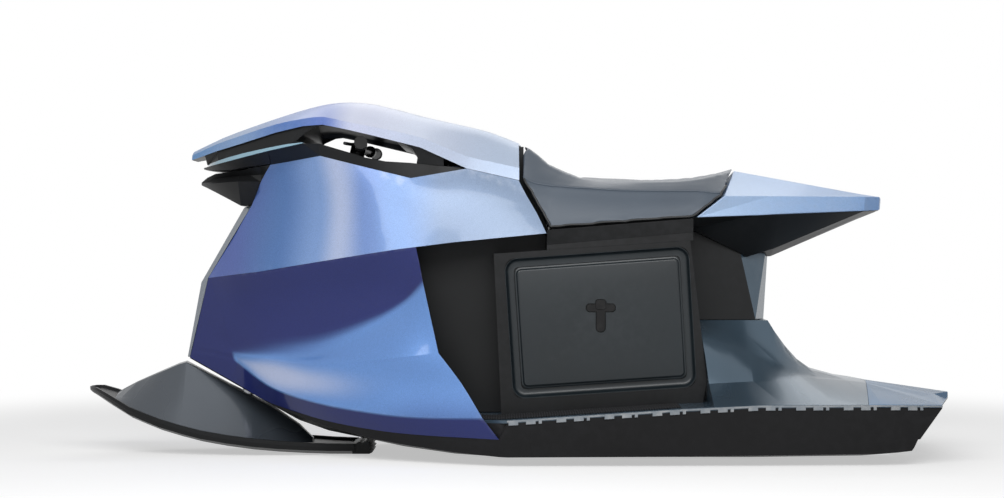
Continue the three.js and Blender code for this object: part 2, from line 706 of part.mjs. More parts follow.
function neckBody() {
  const rings = [[420, -730, -768], [705, -666, -786]].map(([z, sideX, ridgeX]) => [
    place(-500, 0, z), place(-500, NECK_HALF, z), place(sideX, NECK_HALF, z), place(ridgeX, 0, z),
  ]);
  rings[0].forEach((point) => point.setZ(point.z + 2 * GAP));
  const underTail = tailKeel().translate(0, 0, -GAP * 2);
  const aboveTail = box(place(-900, -300, 650), place(-704, 300, 760));
  const tubRoom = tubBlock().translate(-GAP * 2, 0, -GAP * 2);
  return cut(twinLoft(rings), underTail, aboveTail, tubBlock(), tubRoom);
}

const hatchOutline = () => HATCH_OUTLINE.map(([x, z]) => [along(x), up(z)]);

function spineBody() {
  const face = across(SECTION_FACE);
  const bay = sidePlate(
    roundedShape(insetOutline(hatchOutline(), HATCH_RIM), HATCH_CORNER - HATCH_RIM / 2),
    -face - 1, face + 1,
  );
  const grooveShape = roundedShape(insetOutline(hatchOutline(), -GROOVE), HATCH_CORNER + GROOVE / 2);
  const seat = face - HATCH_THICK + HATCH_PROUD - GAP;
  const groove = sidePlate(grooveShape, seat, face + 1);
  return cut(
    join(sectionBlock(), coreBody(), neckBody()), bay, groove, mirrored(groove), spindleBore(),
  );
}

// A plate with a chamfered front edge.
function chamferedPlate(corners, radius, from, to, chamfer) {
  const straight = sidePlate(roundedShape(corners, radius), from, to - chamfer);
  const ring = (outline, y) => roundedShape(outline, radius).getSpacedPoints(48)
    .slice(0, 48).map((point) => new THREE.Vector3(point.x, y, point.y));
  const bevel = loft([
    ring(insetOutline(corners, 0.02), to - chamfer - 0.5),
    ring(insetOutline(corners, chamfer), to),
  ]);
  return join(straight, bevel);
}

function hatchBody() {
  const face = across(SECTION_FACE);
  const plate = chamferedPlate(
    hatchOutline(), HATCH_CORNER, face - HATCH_THICK + HATCH_PROUD, face + HATCH_PROUD, HATCH_CHAMFER,
  );
  return cut(plate, ...latchShapes(LATCH_ROOM).map((shape) => (
    sidePlate(shape, face + HATCH_PROUD - LATCH_POCKET, face + HATCH_PROUD + 1)
  )));
}

const hatchCentre = () => {
  const corners = hatchOutline();
  return [0, 1].map((k) => corners.reduce((sum, corner) => sum + corner[k], 0) / corners.length);
};

// T-handle in the side view, grown all round by a margin: crossbar, boss and stem.
function latchShapes(grow) {
  const [x, z] = hatchCentre();
  const centreZ = z + up(45);
  const block = (halfWidth, low, high, radius) => roundedShape([
    [x - halfWidth - grow, centreZ + low - grow], [x + halfWidth + grow, centreZ + low - grow],
    [x + halfWidth + grow, centreZ + high + grow], [x - halfWidth - grow, centreZ + high + grow],
  ], radius + grow);
  return [block(43, -11, 11, 10), block(15, -5, 24, 9), block(13, -72, 5, 12)];
}

function latchBody() {
  const from = across(SECTION_FACE) + HATCH_PROUD - LATCH_POCKET + GAP;
  const [crossbar, boss, stem] = latchShapes(0);
  return join(
    sidePlate(crossbar, from, from + 8), sidePlate(boss, from, from + 10), sidePlate(stem, from, from + 8),
  );
}

// The battery stands on the bay's floor, clear of its other walls.
function batteryBody() {
  const corners = insetOutline(hatchOutline(), HATCH_RIM + GAP);
  const [foreTop, aftTop, aftFoot, foreFoot] = corners.map((corner) => new THREE.Vector2(...corner));
  const footFore = foreFoot.clone().lerp(aftFoot, 0.1);
  const footAft = foreFoot.clone().lerp(aftFoot, 0.9);
  const roof = foreTop.clone().lerp(aftTop, 0.5);
  const rise = (roof.y - foreFoot.clone().lerp(aftFoot, 0.5).y) * 0.86;
  const outline = [
    [footFore.x, footFore.y], [footAft.x, footAft.y],
    [footAft.x, footAft.y + rise], [footFore.x, footFore.y + rise],
  ];
  return sidePlate(outline, -across(205), across(205));
}

// ---------------------------------------------------------------- front body

const upperPanelGrid = () => (
  smoothGrid(UPPER_PANEL.map((column) => column.map((point) => place(...point))), UPPER_PARTS)
);
function upperPanel() {
  const outer = upperPanelGrid();
  outer.forEach((column) => {
    column.at(-1).z += GAP / 2;
  });
  const inner = outer.map((column) => column.map((point) => new THREE.Vector3(point.x, 4, point.z)));
  return cut(slab(outer, inner), coreBody(GAP));
}

function lowerPanel() {
  const drawn = LOWER_PANEL.map((column) => column.map((point) => place(...point)));
  const outer = smoothGrid(drawn, LOWER_PARTS);
  outer.forEach((column) => {
    column[0].z -= GAP / 2;
    column.at(-1).z += GAP;
  });
  const wing = WING_FROM * LOWER_PARTS.sideways.parts;
  const inner = outer.map((column, i) => column.map((point) => {
    const y = i < wing ? 4 : point.y - WING_WALL;
    return new THREE.Vector3(point.x, y, point.z);
  }));
  return cut(slab(outer, inner), coreBody(GAP), spindleBore());
}

// Front ridge of the stem: x, z; its side edges follow the front of the side panels.
const STEM_RIDGE = [[867, 770], [1002, 535], [1045, 299]];
const STEM_SIDES = [UPPER_PANEL[0][2], LOWER_PANEL[0][0], LOWER_PANEL[0][5]];

function stemBody() {
  const rings = STEM_RIDGE.map(([x, z], i) => {
    const side = place(...STEM_SIDES[i]);
    side.x += GAP * 2;
    const back = new THREE.Vector3(side.x, 0, side.z);
    return [back, side, place(x, 0, z)];
  });
  return twinLoft(rings);
}

// Half profiles of the hood, drawn in by a margin and carried down below its edge.
function hoodProfiles(inset, drop, from = -Infinity, to = Infinity) {
  const drawn = HOOD_LINES.map(([x, edgeY, edgeZ, shoulderY, shoulderZ, ridgeY, ridgeZ, middleZ]) => [
    place(x, edgeY, edgeZ), place(x, shoulderY, shoulderZ), place(x, ridgeY, ridgeZ),
    place(x, 0, middleZ), place(x, -ridgeY, ridgeZ), place(x, -shoulderY, shoulderZ),
  ]);
  const everyRing = drawn.map((_, i) => i);
  const lines = [0, 1, 2, 3, 4, 5].map((k) => (
    smoothLine(drawn.map((ring) => ring[k]), HOOD_PARTS, k ? [] : everyRing)
  ));
  return lines[0].map((_, i) => {
    const [edge, ...roof] = lines.map((line) => line[i].clone());
    const shoulder = roof[0];
    const curve = smoothLine(roof, 3).slice(1, 7);
    edge.y = Math.max(edge.y - inset, 1);
    shoulder.y = Math.max(shoulder.y - inset, 0.9);
    shoulder.z -= inset / 2;
    curve.forEach((point) => {
      point.y *= (shoulder.y / (shoulder.y + inset));
      point.z -= inset;
    });
    const foot = edge.clone();
    foot.z -= drop;
    return [new THREE.Vector3(foot.x, 0, foot.z), foot, edge, shoulder, ...curve];
  }).filter(([{ x }]) => x > along(from) && x < along(to));
}

// An open shell over the hand tunnel, closed at the nose and against the saddle.
function hoodBody() {
  const outside = twinLoft(hoodProfiles(0, 0).map(([middle, , ...rest]) => [middle, ...rest]));
  const inside = twinLoft(hoodProfiles(HOOD_WALL, 60, 10, 1010));
  return cut(outside.translate(0, 0, GAP * 2), inside.translate(0, 0, GAP * 2));
}

// Black lining under the hood: it closes the nose and the back, and frames the hand tunnel.
function linerBody() {
  const drop = (x) => {
    const below = x <= 650 ? at(CONSOLE_LINES, x)[3] : at(LAMP_LINES, Math.min(x, 981))[1];
    return up(below);
  };
  const fill = hoodProfiles(HOOD_WALL + GAP, 0, 176, 1005).map((ring) => {
    const [middle, foot] = ring;
    const x = middle.x / along(1);
    const low = drop(x);
    const half = x <= 650 ? at(CONSOLE_LINES, x)[2] : at(LAMP_LINES, Math.min(x, 981))[0];
    middle.z = low;
    foot.set(foot.x, Math.min(across(half) - 1, ring[2].y), low);
    return ring;
  });
  const hollow = hoodProfiles(
    HOOD_WALL + GAP + LINER_WALL, 80, TUNNEL_HOLLOW.aft, TUNNEL_HOLLOW.fore,
  );
  const opening = sidePlate(
    TUNNEL_OUTLINE.map(([x, z]) => [along(x), up(z)]), -across(400), across(400),
  );
  return cut(
    twinLoft(fill).translate(-GAP, 0, GAP), twinLoft(hollow), opening, lampBody(GAP),
    consoleBlock(GAP),
  );
}

// Lamp strip that wraps round the nose; grow makes it larger all round.
function lampBody(grow = 0) {
  const port = LAMP_LINES.map(([x, y, low, high]) => ({ x, y, low, high }));
  const all = [...port, ...port.slice(0, -1).reverse().map((row) => ({ ...row, y: -row.y }))];
  const rings = all.map(({ x, y, low, high }) => {
    const outer = new THREE.Vector3(along(x), across(y), 0);
    const inward = new THREE.Vector3(along(560), 0, 0).sub(outer).setLength(LAMP_DEPTH + grow);
    const inner = outer.clone().add(inward);
    if (grow) outer.addScaledVector(inward, -1);
    const lowZ = up(low) - grow;
    const highZ = up(high) + grow;
    return [
      new THREE.Vector3(outer.x, outer.y, lowZ), new THREE.Vector3(inner.x, inner.y, lowZ),
      new THREE.Vector3(inner.x, inner.y, highZ), new THREE.Vector3(outer.x, outer.y, highZ),
    ];
  });
  return loft(rings);
}

function consoleBlock(grow = 0) {
  const rings = CONSOLE_LINES.map(([x, footHalf, low, browHalf, high]) => [
    place(x, 0, low), place(x, footHalf, low), place(x, browHalf, high), place(x, 0, high),
  ]);
  rings.forEach(([lowMiddle, foot, brow, highMiddle]) => {
    lowMiddle.z += GAP - grow;
    foot.z += GAP - grow;
    foot.y += grow;
    brow.z += grow;
    brow.y += grow;
    highMiddle.z += grow;
  });
  return twinLoft(rings);
}
const consoleBody = () => (
  cut(consoleBlock(), stemBar(STEM_RADIUS + STEM_FIT, STEM_DEPTH + 1), lampBody(GAP))
);

// Upper blade of the nose, under the lamp.
function bladeBody() {
  const rings = BLADE_LINES.map(([x, footHalf, low, browHalf]) => {
    const high = Math.max(at(LAMP_LINES, Math.min(x, 981))[1], low + 2);
    return [
      place(x, 0, low), place(x, footHalf, low),
      place(x, footHalf + BLADE_LIP.out, low + BLADE_LIP.rise),
      place(x, browHalf, high), place(x, 0, high),
    ];
  });
  rings.forEach((ring) => {
    ring[3].z -= GAP;
    ring[4].z -= GAP;
  });
  return cut(twinLoft(rings), lampBody(GAP));
}

// Lower black wedge of the nose; its back follows the front of the upper side panels.
function noseWedge() {
  const rings = WEDGE_LINES.map(([x, footY, footZ, wideY, wideZ, waistY, waistZ, browY, browZ]) => [
    place(x, 0, footZ), place(x, footY, footZ), place(x, wideY, wideZ), place(x, waistY, waistZ),
    place(x, browY, browZ), place(x, 0, browZ),
  ]);
  const seam = upperPanelGrid()[0].map(({ x, z }) => [x + GAP * 2, z]);
  const behind = sidePlate(
    [[along(700), seam[0][1] + 30], [seam[0][0], seam[0][1] + 30], ...seam, [along(700), seam.at(-1)[1]]],
    -across(400), across(400),
  );
  return cut(twinLoft(rings), behind, stemBody().translate(0, 0, GAP * 2), coreBody(GAP));
}

// Cushion: x at top, top z, top half width, side crease x, y, z, foot x, y, z.
const SEAT_LINES = [
  [-2, 968, 70, 0, 238, 864, 0, 248, 852],
  [-26, 960, 100, -28, 238, 845, -24, 256, 812],
  [-84, 908, 140, -84, 236, 834, -84, 280, 702],
  [-179, 865, 165, -179, 236, 828, -179, 280, 709],
  [-309, 855, 175, -309, 236, 820, -309, 278, 719],
  [-438, 855, 175, -438, 236, 818, -438, 275, 729],
  [-530, 862, 170, -530, 238, 818, -524, 272, 736],
  [-618, 882, 120, -600, 244, 812, -606, 262, 799],
  [-668, 898, 30, -640, 200, 838, -640, 180, 832],
];

const SEAT_PARTS = 2;
const SEAT_CLEARANCE = 6;   // between the saddle and the bodywork round it

function cushionBody() {
  const drawn = SEAT_LINES.map(([x, z, y, sideX, sideY, sideZ, footX, footY, footZ]) => [
    place(footX, 0, footZ), place(footX, footY, footZ), place(sideX, sideY, sideZ),
    place(x, y, z - 6), place(x, 0, z),
  ]);
  const lines = drawn[0].map((_, k) => smoothLine(drawn.map((ring) => ring[k]), SEAT_PARTS, [2]));
  const rings = lines[0].map((_, i) => lines.map((line) => line[i]));
  rings.forEach((ring) => ring.forEach((point) => {
    point.x -= SEAT_CLEARANCE;
    if (point.y > 0 && point.y < 1) point.y = 1;
  }));
  const cowlFront = TAIL_RINGS[0].map(([x, , z]) => [along(x) + RUNNING, up(z) + RUNNING / 2]);
  const behind = sidePlate(
    [...cowlFront, [along(-900), up(900)], [along(-900), up(700)]], -across(400), across(400),
  );
  return cut(
    twinLoft(rings), panRoom(), sealBody(SEAT_CLEARANCE), behind,
    tailCowl(), tailCowl().translate(RUNNING, 0, RUNNING / 2),
  );
}

// Rib that stands up inside the front of the saddle and closes the seam behind the panels.
const SEAL_OUTLINE = {
  front: [[-79.5, 640], [-79.5, 687], [-50.8, 748.5], [-21.8, 798.5], [2.5, 846.7], [2.5, 956]],
  back: [[-12, 956], [-12, 858], [-36, 807], [-65, 755], [-90, 697], [-90, 640]],
};
const SEAL_HALF = 92;
function sealBody(grow = 0) {
  const front = SEAL_OUTLINE.front.map(([x, z]) => [along(x), up(z)]);
  const back = SEAL_OUTLINE.back.map(([x, z]) => [along(x) - grow, up(z)]);
  front.at(-1)[1] += grow;
  back[0][1] += grow;
  const half = across(SEAL_HALF) + grow;
  return cut(sidePlate([...front, ...back], -half, half), coreBody(GAP));
}

const PAN = { fore: -95, aft: -512, half: 210, high: 775, wall: 6 };
const TUB_RIM = [[-80, 695], [-521, 726.6]];
const rimAt = (x) => {
  const [[foreX, foreZ], [aftX, aftZ]] = TUB_RIM;
  return foreZ + (aftZ - foreZ) * (x - foreX) / (aftX - foreX);
};

// A tray turned upside down, standing on the tub's rim; inset makes it smaller all round.
function panShape(inset, below) {
  const rings = [[PAN.fore, -1], [PAN.aft, 1]].map(([x, side]) => {
    const low = up(rimAt(x)) + GAP - below;
    const high = up(PAN.high) - inset;
    const half = across(PAN.half) - inset;
    const placeX = along(x) + side * inset;
    return [[0, low], [half, low], [half, high], [0, high]]
      .map(([y, z]) => new THREE.Vector3(placeX, y, z));
  });
  return twinLoft(rings);
}
const panBody = () => cut(panShape(0, 0), panShape(PAN.wall, 1));
const panRoom = () => panShape(-GAP, 30);

function tubBlock() {
  const { foreTop, aftTop } = SECTION_OUTLINE;
  const roof = (x) => {
    const share = (x - foreTop[0]) / (aftTop[0] - foreTop[0]);
    return up(foreTop[1] + (aftTop[1] - foreTop[1]) * share) + GAP;
  };
  const rings = TUB_RIM.map(([x, top]) => [
    new THREE.Vector3(along(x), 0, roof(x)), new THREE.Vector3(along(x), across(262), roof(x)),
    place(x, 262, top), place(x, 0, top),
  ]);
  return twinLoft(rings);
}

function tubBody() {
  const well = box(place(-480, -190, 670), place(-110, 190, 800));
  const seal = cut(sealBody(), box(place(-200, -300, 500), place(100, 300, 668)), panRoom());
  return cut(join(tubBlock(), seal), well, saddlePinBore());
}

function seatRail() {
  const outer = [
    [[-80.5, 291, 696], [-80.5, 264, 652]],
    [[-521, 272, 731], [-521, 264, 690]],
  ].map((row) => row.map((point) => place(...point)));
  const innerY = across(SECTION_FACE) + GAP;
  const inner = outer.map((row) => row.map(({ x, z }) => new THREE.Vector3(x, innerY, z)));
  return slab(outer, inner);
}

function tailCowl() {
  const rings = TAIL_RINGS.map((ring) => {
    const [waist, crease, ridge] = ring.map((point) => place(...point));
    return [new THREE.Vector3(waist.x, 0, waist.z), waist, crease, ridge];
  });
  return twinLoft(rings);
}

function tailKeel() {
  const rings = TAIL_KEEL_LINES.map(([x, y, z, creaseY, creaseZ, keelZ]) => [
    place(x, 0, keelZ), place(x, creaseY, creaseZ), place(x, y, z), place(x, 0, z),
  ]);
  rings.forEach((ring) => {
    ring[2].z -= GAP * 2;
    ring[3].z -= GAP * 2;
  });
  return twinLoft(rings);
}

// ---------------------------------------------------------------- ski

function skiBoard() {
  const rings = SKI_LINES.map(([x, low, half, thick]) => {
    const rim = Math.min(13, half * 0.2);
    const floor = low + thick - Math.min(SKI_DISH, thick * 0.4);
    return [
      place(x, 0, low), place(x, half * 0.55, low), place(x, half - rim * 0.6, low + thick * 0.35),
      place(x, half, low + thick * 0.7), place(x, half, low + thick),
      place(x, half - rim, low + thick), place(x, half - rim * 1.6, floor), place(x, 0, floor),
    ];
  });
  const heel = sidePlate(
    HEEL_OUTLINE.map(([x, z]) => [along(x), up(z)]), -across(HEEL_HALF), across(HEEL_HALF),
  );
  return join(twinLoft(rings), heel);
}

const skiTop = (x) => {
  const [low, , thick] = at(SKI_LINES, x);
  return low + thick - SKI_DISH;
};

function skiCowl() {
  const stations = [...new Set([...SKI_COWL_LINES.map(([x]) => x),
    ...SKI_LINES.map(([x]) => x).filter((x) => x < 1262 && x > 648)])].sort((a, b) => b - a);
  const rings = stations.map((x) => {
    const [foot, top, topZ] = at(SKI_COWL_LINES, x);
    const base = skiTop(x);
    const ring = [
      place(x, 0, base), place(x, foot, base), place(x, foot * 0.58 + top * 0.34, base + (topZ - base) * 0.4),
      place(x, top, topZ - 4), place(x, 0, topZ),
    ];
    ring[0].z += GAP;
    ring[1].z += GAP;
    return ring;
  });
  return cut(twinLoft(rings), spindleBar(SPINDLE_RADIUS + GAP, 60, 10));
}

const axisDirection = (degrees) => {
  const angle = THREE.MathUtils.degToRad(degrees);
  return new THREE.Vector3(-Math.sin(angle), 0, Math.cos(angle));
};

function spindleBar(radius, below, above) {
  const centre = place(...SKI_AXIS_POINT);
  const direction = axisDirection(SKI_RAKE);
  return bar(
    centre.clone().addScaledVector(direction, -below),
    centre.clone().addScaledVector(direction, above), radius, 24,
  );
}

const spindleBore = () => spindleBar(SPINDLE_RADIUS + GAP, 61, 61);

// ---------------------------------------------------------------- jet drive

const JET_HEIGHT = 92;      // pump centre above the keel
const JET_FRONT = -972;
const INTAKE = { aft: -940, fore: -775 };
const jetPoint = (x) => new THREE.Vector3(along(x), 0, up(JET_HEIGHT));

// Stern cave round the pump and nozzle, and the sloping water intake in front of it.
function tunnelCut() {
  const radius = JET_RADIUS + JET_WALL;
  const cave = box(
    new THREE.Vector3(along(-1400), -radius - 30, up(-10)),
    new THREE.Vector3(along(JET_FRONT) + GAP, radius + 30, up(JET_HEIGHT) + radius + RUNNING),
  );
  const mouth = [];
  [INTAKE.aft, INTAKE.fore].forEach((x) => [-1, 1].forEach((side) => {
    mouth.push(new THREE.Vector3(along(x), side * JET_RADIUS, up(-10)));
  }));
  for (let step = 0; step < 20; step += 1) {
    const angle = step * Math.PI / 10;
    const point = jetPoint(JET_FRONT - 1);
    point.y += JET_RADIUS * Math.cos(angle);
    point.z += JET_RADIUS * Math.sin(angle);
    mouth.push(point);
  }
  const shaftBore = bar(jetPoint(JET_FRONT - 1), jetPoint(MOTOR.aft + 2), SHAFT_RADIUS + 0.5, 20);
  return [cave, new ConvexGeometry(mouth), shaftBore];
}

// Motor in its own well, half in the hull and half under the deck.
const MOTOR = { fore: -580, aft: -760, half: 85, low: 30, high: 175, room: 10 };
function motorBox(grow) {
  const low = place(MOTOR.aft, 0, MOTOR.low).setY(-MOTOR.half);
  const high = place(MOTOR.fore, 0, MOTOR.high).setY(MOTOR.half);
  return box(
    low.sub(new THREE.Vector3(grow, grow, Math.min(grow, GAP))),
    high.add(new THREE.Vector3(grow, grow, grow)),
  );
}

function ductBody() {
  const shell = JET_RADIUS + JET_WALL;
  const profile = [
    [JET_RADIUS, 0], [shell, 0], [shell, 80], [NOZZLE_RADIUS + 6, 150], [NOZZLE_RADIUS + 6, 184],
    [NOZZLE_RADIUS + 2, 184], [NOZZLE_RADIUS + 2, 146], [JET_RADIUS, 74], [JET_RADIUS, 0],
  ].map(([r, l]) => new THREE.Vector2(r, l));
  const tube = new THREE.LatheGeometry(profile, 32);
  tube.rotateZ(Math.PI / 2).translate(along(JET_FRONT) - GAP, 0, up(JET_HEIGHT));
  return join(tube, nozzlePin(1, PIN_RADIUS), nozzlePin(-1, PIN_RADIUS));
}

// The nozzle swings on two upright pins that stand on the pump's outlet.
const PIN_RADIUS = 5;
function nozzlePin(side, radius) {
  const middle = new THREE.Vector3(along(JET_FRONT) - GAP - 178, 0, up(JET_HEIGHT));
  const reach = (mm) => middle.clone().add(new THREE.Vector3(0, 0, side * mm));
  return bar(reach(NOZZLE_RADIUS + 4), reach(NOZZLE_RADIUS + 28), radius, 16);
}

function impellerBody() {
  const shaftFront = jetPoint(MOTOR.aft).sub(new THREE.Vector3(GAP, 0, 0));
  const shaft = bar(shaftFront, jetPoint(JET_FRONT - 12), SHAFT_RADIUS);
  const hub = bar(jetPoint(JET_FRONT - 4), jetPoint(JET_FRONT - 78), 20, 16, 15);
  const blades = [];
  for (let k = 0; k < 4; k += 1) {
    const reach = JET_RADIUS - IMPELLER_TIP_GAP;
    const blade = new THREE.BoxGeometry(44, 6, reach - 8);
    blade.translate(0, 0, (reach + 8) / 2);
    blade.rotateZ(Math.PI / 5);
    blade.rotateX(k * Math.PI / 2);
    blade.translate(along(JET_FRONT - 38), 0, up(JET_HEIGHT));
    blades.push(blade);
  }
  return join(shaft, hub, ...blades);
}

const NOZZLE_FRONT = 166;   // collar behind the pump's front face
function nozzleBody() {
  const profile = [
    [NOZZLE_RADIUS + 22, 0], [NOZZLE_RADIUS + 26, 0], [NOZZLE_RADIUS + 5, 100],
    [NOZZLE_RADIUS, 100], [NOZZLE_RADIUS + 22, 0],
  ].map(([r, l]) => new THREE.Vector2(r, l));
  const tube = new THREE.LatheGeometry(profile, 32);
  tube.rotateZ(Math.PI / 2).translate(along(JET_FRONT) - GAP - NOZZLE_FRONT, 0, up(JET_HEIGHT));
  return cut(tube, nozzlePin(1, PIN_RADIUS + GAP), nozzlePin(-1, PIN_RADIUS + GAP));
}

function ridePlate() {
  const half = JET_RADIUS + JET_WALL + 30 - GAP;
  return box(
    new THREE.Vector3(along(-1150), -half, up(8)),
    new THREE.Vector3(along(JET_FRONT) - GAP, half, up(16)),
  );
}

function intakeGrate() {
  const bars = [];
  const [aft, fore] = [INTAKE.aft + 10, INTAKE.fore - 43];
  for (let k = -2; k <= 2; k += 1) {
    bars.push(box(
      new THREE.Vector3(along(aft), k * 22 - 3, up(6)),
      new THREE.Vector3(along(fore), k * 22 + 3, up(14)),
    ));
  }
  [aft, fore - 6].forEach((x) => bars.push(box(
    new THREE.Vector3(along(x), -JET_RADIUS + 1, up(6)),
    new THREE.Vector3(along(x) + 6, JET_RADIUS - 1, up(14)),
  )));
  return join(...bars);
}

// ---------------------------------------------------------------- handlebar

function stemBar(radius, depth) {
  const centre = place(...BAR_AXIS_POINT);
  const direction = axisDirection(BAR_RAKE);
  return bar(
    centre.clone().addScaledVector(direction, -depth),
    centre.clone().addScaledVector(direction, 14), radius, 20,
  );
}

function handlebarBody() {
  const centre = place(...BAR_AXIS_POINT);
  const stem = stemBar(STEM_RADIUS, STEM_DEPTH);
  const half = (side) => bar(
    new THREE.Vector3(centre.x, 0, centre.z),
    new THREE.Vector3(along(482), side * (GRIP_END - GRIP_LENGTH), centre.z), BAR_RADIUS, 16,
  );
  return join(stem, half(1), half(-1));
}

function gripBody() {
  const z = place(...BAR_AXIS_POINT).z;
  const start = new THREE.Vector3(along(481), GRIP_END - GRIP_LENGTH + 1, z);
  const end = new THREE.Vector3(along(474), GRIP_END, z);
  const lip = end.clone().sub(start).setLength(6);
  const flange = bar(end.clone().sub(lip), end.clone().add(lip), GRIP_FLANGE, 20);
  return join(bar(start, end, GRIP_RADIUS, 20), flange);
}

function controlPod() {
  const z = place(...BAR_AXIS_POINT).z;
  const inner = GRIP_END - GRIP_LENGTH - 30;
  const barX = (y) => along(507) + (along(482) - along(507)) * y / (GRIP_END - GRIP_LENGTH);
  const start = new THREE.Vector3(barX(inner), inner, z);
  const end = new THREE.Vector3(barX(inner + 24), inner + 24, z);
  const body = bar(start, end, POD_RADIUS, 20);
  const lever = bar(
    new THREE.Vector3(start.x + GRIP_RADIUS - 1, inner + 12, z),
    new THREE.Vector3(start.x + GRIP_RADIUS + 23, GRIP_END - 40, z), LEVER_RADIUS, 10,
  );
  const sleeve = bar(
    start.clone().lerp(end, -0.1), end.clone().lerp(start, -0.1), BAR_RADIUS + GAP, 16,
  );
  return cut(join(body, lever), sleeve);
}

function dashDisplay() {
  const rings = [548, 590].map((x) => {
    const top = up(at(CONSOLE_LINES, x)[3]) + GAP;
    return [[0, 0], [45, 0], [42, 4], [0, 4]].map(([y, rise]) => (
      new THREE.Vector3(along(x), y, top + rise)
    ));
  });
  return twinLoft(rings);
}

function saddlePin(radius, half) {
  const centre = new THREE.Vector3(
    along(HOOD_LINES.at(-1)[0]) - SADDLE_HINGE.radius, 0, up(SADDLE_HINGE.high),
  );
  const reach = new THREE.Vector3(0, half, 0);
  return bar(centre.clone().sub(reach), centre.clone().add(reach), radius, 12);
}
const saddleHinge = () => saddlePin(SADDLE_HINGE.radius, SADDLE_HINGE.half);
const saddlePinBore = () => saddlePin(SADDLE_HINGE.radius + GAP, SADDLE_HINGE.half + 1);

// ---------------------------------------------------------------- assembly

const finish = (color, roughness, metalness = 0) => ({ color, roughness, metalness });
const FINISH = {
  lightBlue: finish(0x7f9fd6, 0.3, 0.4),
  deepBlue: finish(0x35499b, 0.3, 0.4),
  stemGrey: finish(0x7f9aa6, 0.3, 0.4),
  black: finish(0x1c1d20, 0.5),
  gloss: finish(0x30343c, 0.2),
  slate: finish(0x2c3138, 0.4),
  seat: finish(0x6f737c, 0.8),
  rubber: finish(0x151515, 0.9),
  rail: finish(0xbfc5c8, 0.4),
  metal: finish(0x8c9094, 0.35, 1),
  battery: finish(0x2e3a33, 0.7),
  lamp: finish(0xcfe4f2, 0.15),
};

const craft = new THREE.Group();
craft.name = 'electric_personal_watercraft';
function add(name, geometry, look) {
  const mesh = new THREE.Mesh(geometry, new THREE.MeshStandardMaterial(FINISH[look]));
  mesh.name = name;
  craft.add(mesh);
}
function addPair(name, port, look) {
  add(`${name}_port`, port, look);
  add(`${name}_starboard`, mirrored(port), look);
}

add('hull', cut(hullBody(), transomStep(), ...tunnelCut(), motorBox(MOTOR.room), spindleBore()), 'black');
add('deck', cut(deckBody(), asternOf(GAP), motorBox(MOTOR.room)), 'gloss');
add('stern_platform', common(deckBody(), asternOf(0)), 'gloss');
addPair('rub_rail', rubRail(), 'rail');
addPair('traction_mat', tractionMat(), 'rubber');
add('spine', spineBody(), 'black');
add('battery_block', batteryBody(), 'battery');
add('motor_block', motorBox(0), 'metal');
addPair('hatch', hatchBody(), 'slate');
addPair('hatch_latch', latchBody(), 'rubber');
addPair('side_panel_lower', lowerPanel(), 'deepBlue');
addPair('side_panel_upper', upperPanel(), 'lightBlue');
add('stem_panel', stemBody(), 'stemGrey');
add('hood', hoodBody(), 'lightBlue');
add('hood_liner', linerBody(), 'black');
add('light_bar', lampBody(), 'lamp');
add('console', consoleBody(), 'black');
add('dash_display', dashDisplay(), 'gloss');
add('nose_blade', bladeBody(), 'black');
add('nose_wedge', noseWedge(), 'black');
add('saddle_pan', panBody(), 'black');
add('seat_cushion', cushionBody(), 'seat');
add('saddle_hinge', saddleHinge(), 'metal');
add('seat_tub', tubBody(), 'black');
addPair('seat_rail', seatRail(), 'black');
add('tail_cowl', tailCowl(), 'lightBlue');
add('tail_keel', tailKeel(), 'black');
add('ski_board', skiBoard(), 'black');
add('ski_cowl', skiCowl(), 'gloss');
add('ski_spindle', spindleBar(SPINDLE_RADIUS, 60, 60), 'metal');
add('jet_duct', ductBody(), 'metal');
add('impeller', impellerBody(), 'metal');
add('steering_nozzle', nozzleBody(), 'metal');
add('ride_plate', ridePlate(), 'metal');
add('intake_grate', intakeGrate(), 'metal');
add('handlebar', handlebarBody(), 'black');
addPair('control_pod', controlPod(), 'black');
addPair('grip', gripBody(), 'rubber');

export default craft;
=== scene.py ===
"""An electric personal watercraft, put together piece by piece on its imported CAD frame.

Object frame, in metres: +X runs forward to the ski's nose, +Y to port, +Z up from the floor.
"""

import math

import bmesh
import bpy
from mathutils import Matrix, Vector
from mathutils.bvhtree import BVHTree
from mathutils.kdtree import KDTree


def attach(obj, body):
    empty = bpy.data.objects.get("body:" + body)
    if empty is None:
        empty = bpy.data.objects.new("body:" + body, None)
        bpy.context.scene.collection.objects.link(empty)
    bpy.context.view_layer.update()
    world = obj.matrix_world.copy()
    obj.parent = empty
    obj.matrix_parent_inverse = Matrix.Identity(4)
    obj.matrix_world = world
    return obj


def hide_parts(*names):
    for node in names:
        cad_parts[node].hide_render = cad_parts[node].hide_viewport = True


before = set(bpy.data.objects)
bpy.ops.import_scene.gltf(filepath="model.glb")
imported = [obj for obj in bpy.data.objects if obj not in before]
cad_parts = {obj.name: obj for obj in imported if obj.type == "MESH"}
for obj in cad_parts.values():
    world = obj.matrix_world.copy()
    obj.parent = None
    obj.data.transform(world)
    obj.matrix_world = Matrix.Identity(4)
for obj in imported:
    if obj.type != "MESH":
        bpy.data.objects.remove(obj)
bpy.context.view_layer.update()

# ---------------------------------------------------------------------------
# Camera: abeam of the craft on its port side, a little above half its height,
# looking straight across with no tilt.
CAMERA_PLACE = (0.055, 6.0, 0.639)
FOCAL_LENGTH = 68.3
SENSOR_WIDTH = 36.0
VIEW_REACH = 200.0

scene = bpy.context.scene


def new_object(name, data):
    """A new object in the scene, at the origin."""
    made = bpy.data.objects.new(name, data)
    scene.collection.objects.link(made)
    return made


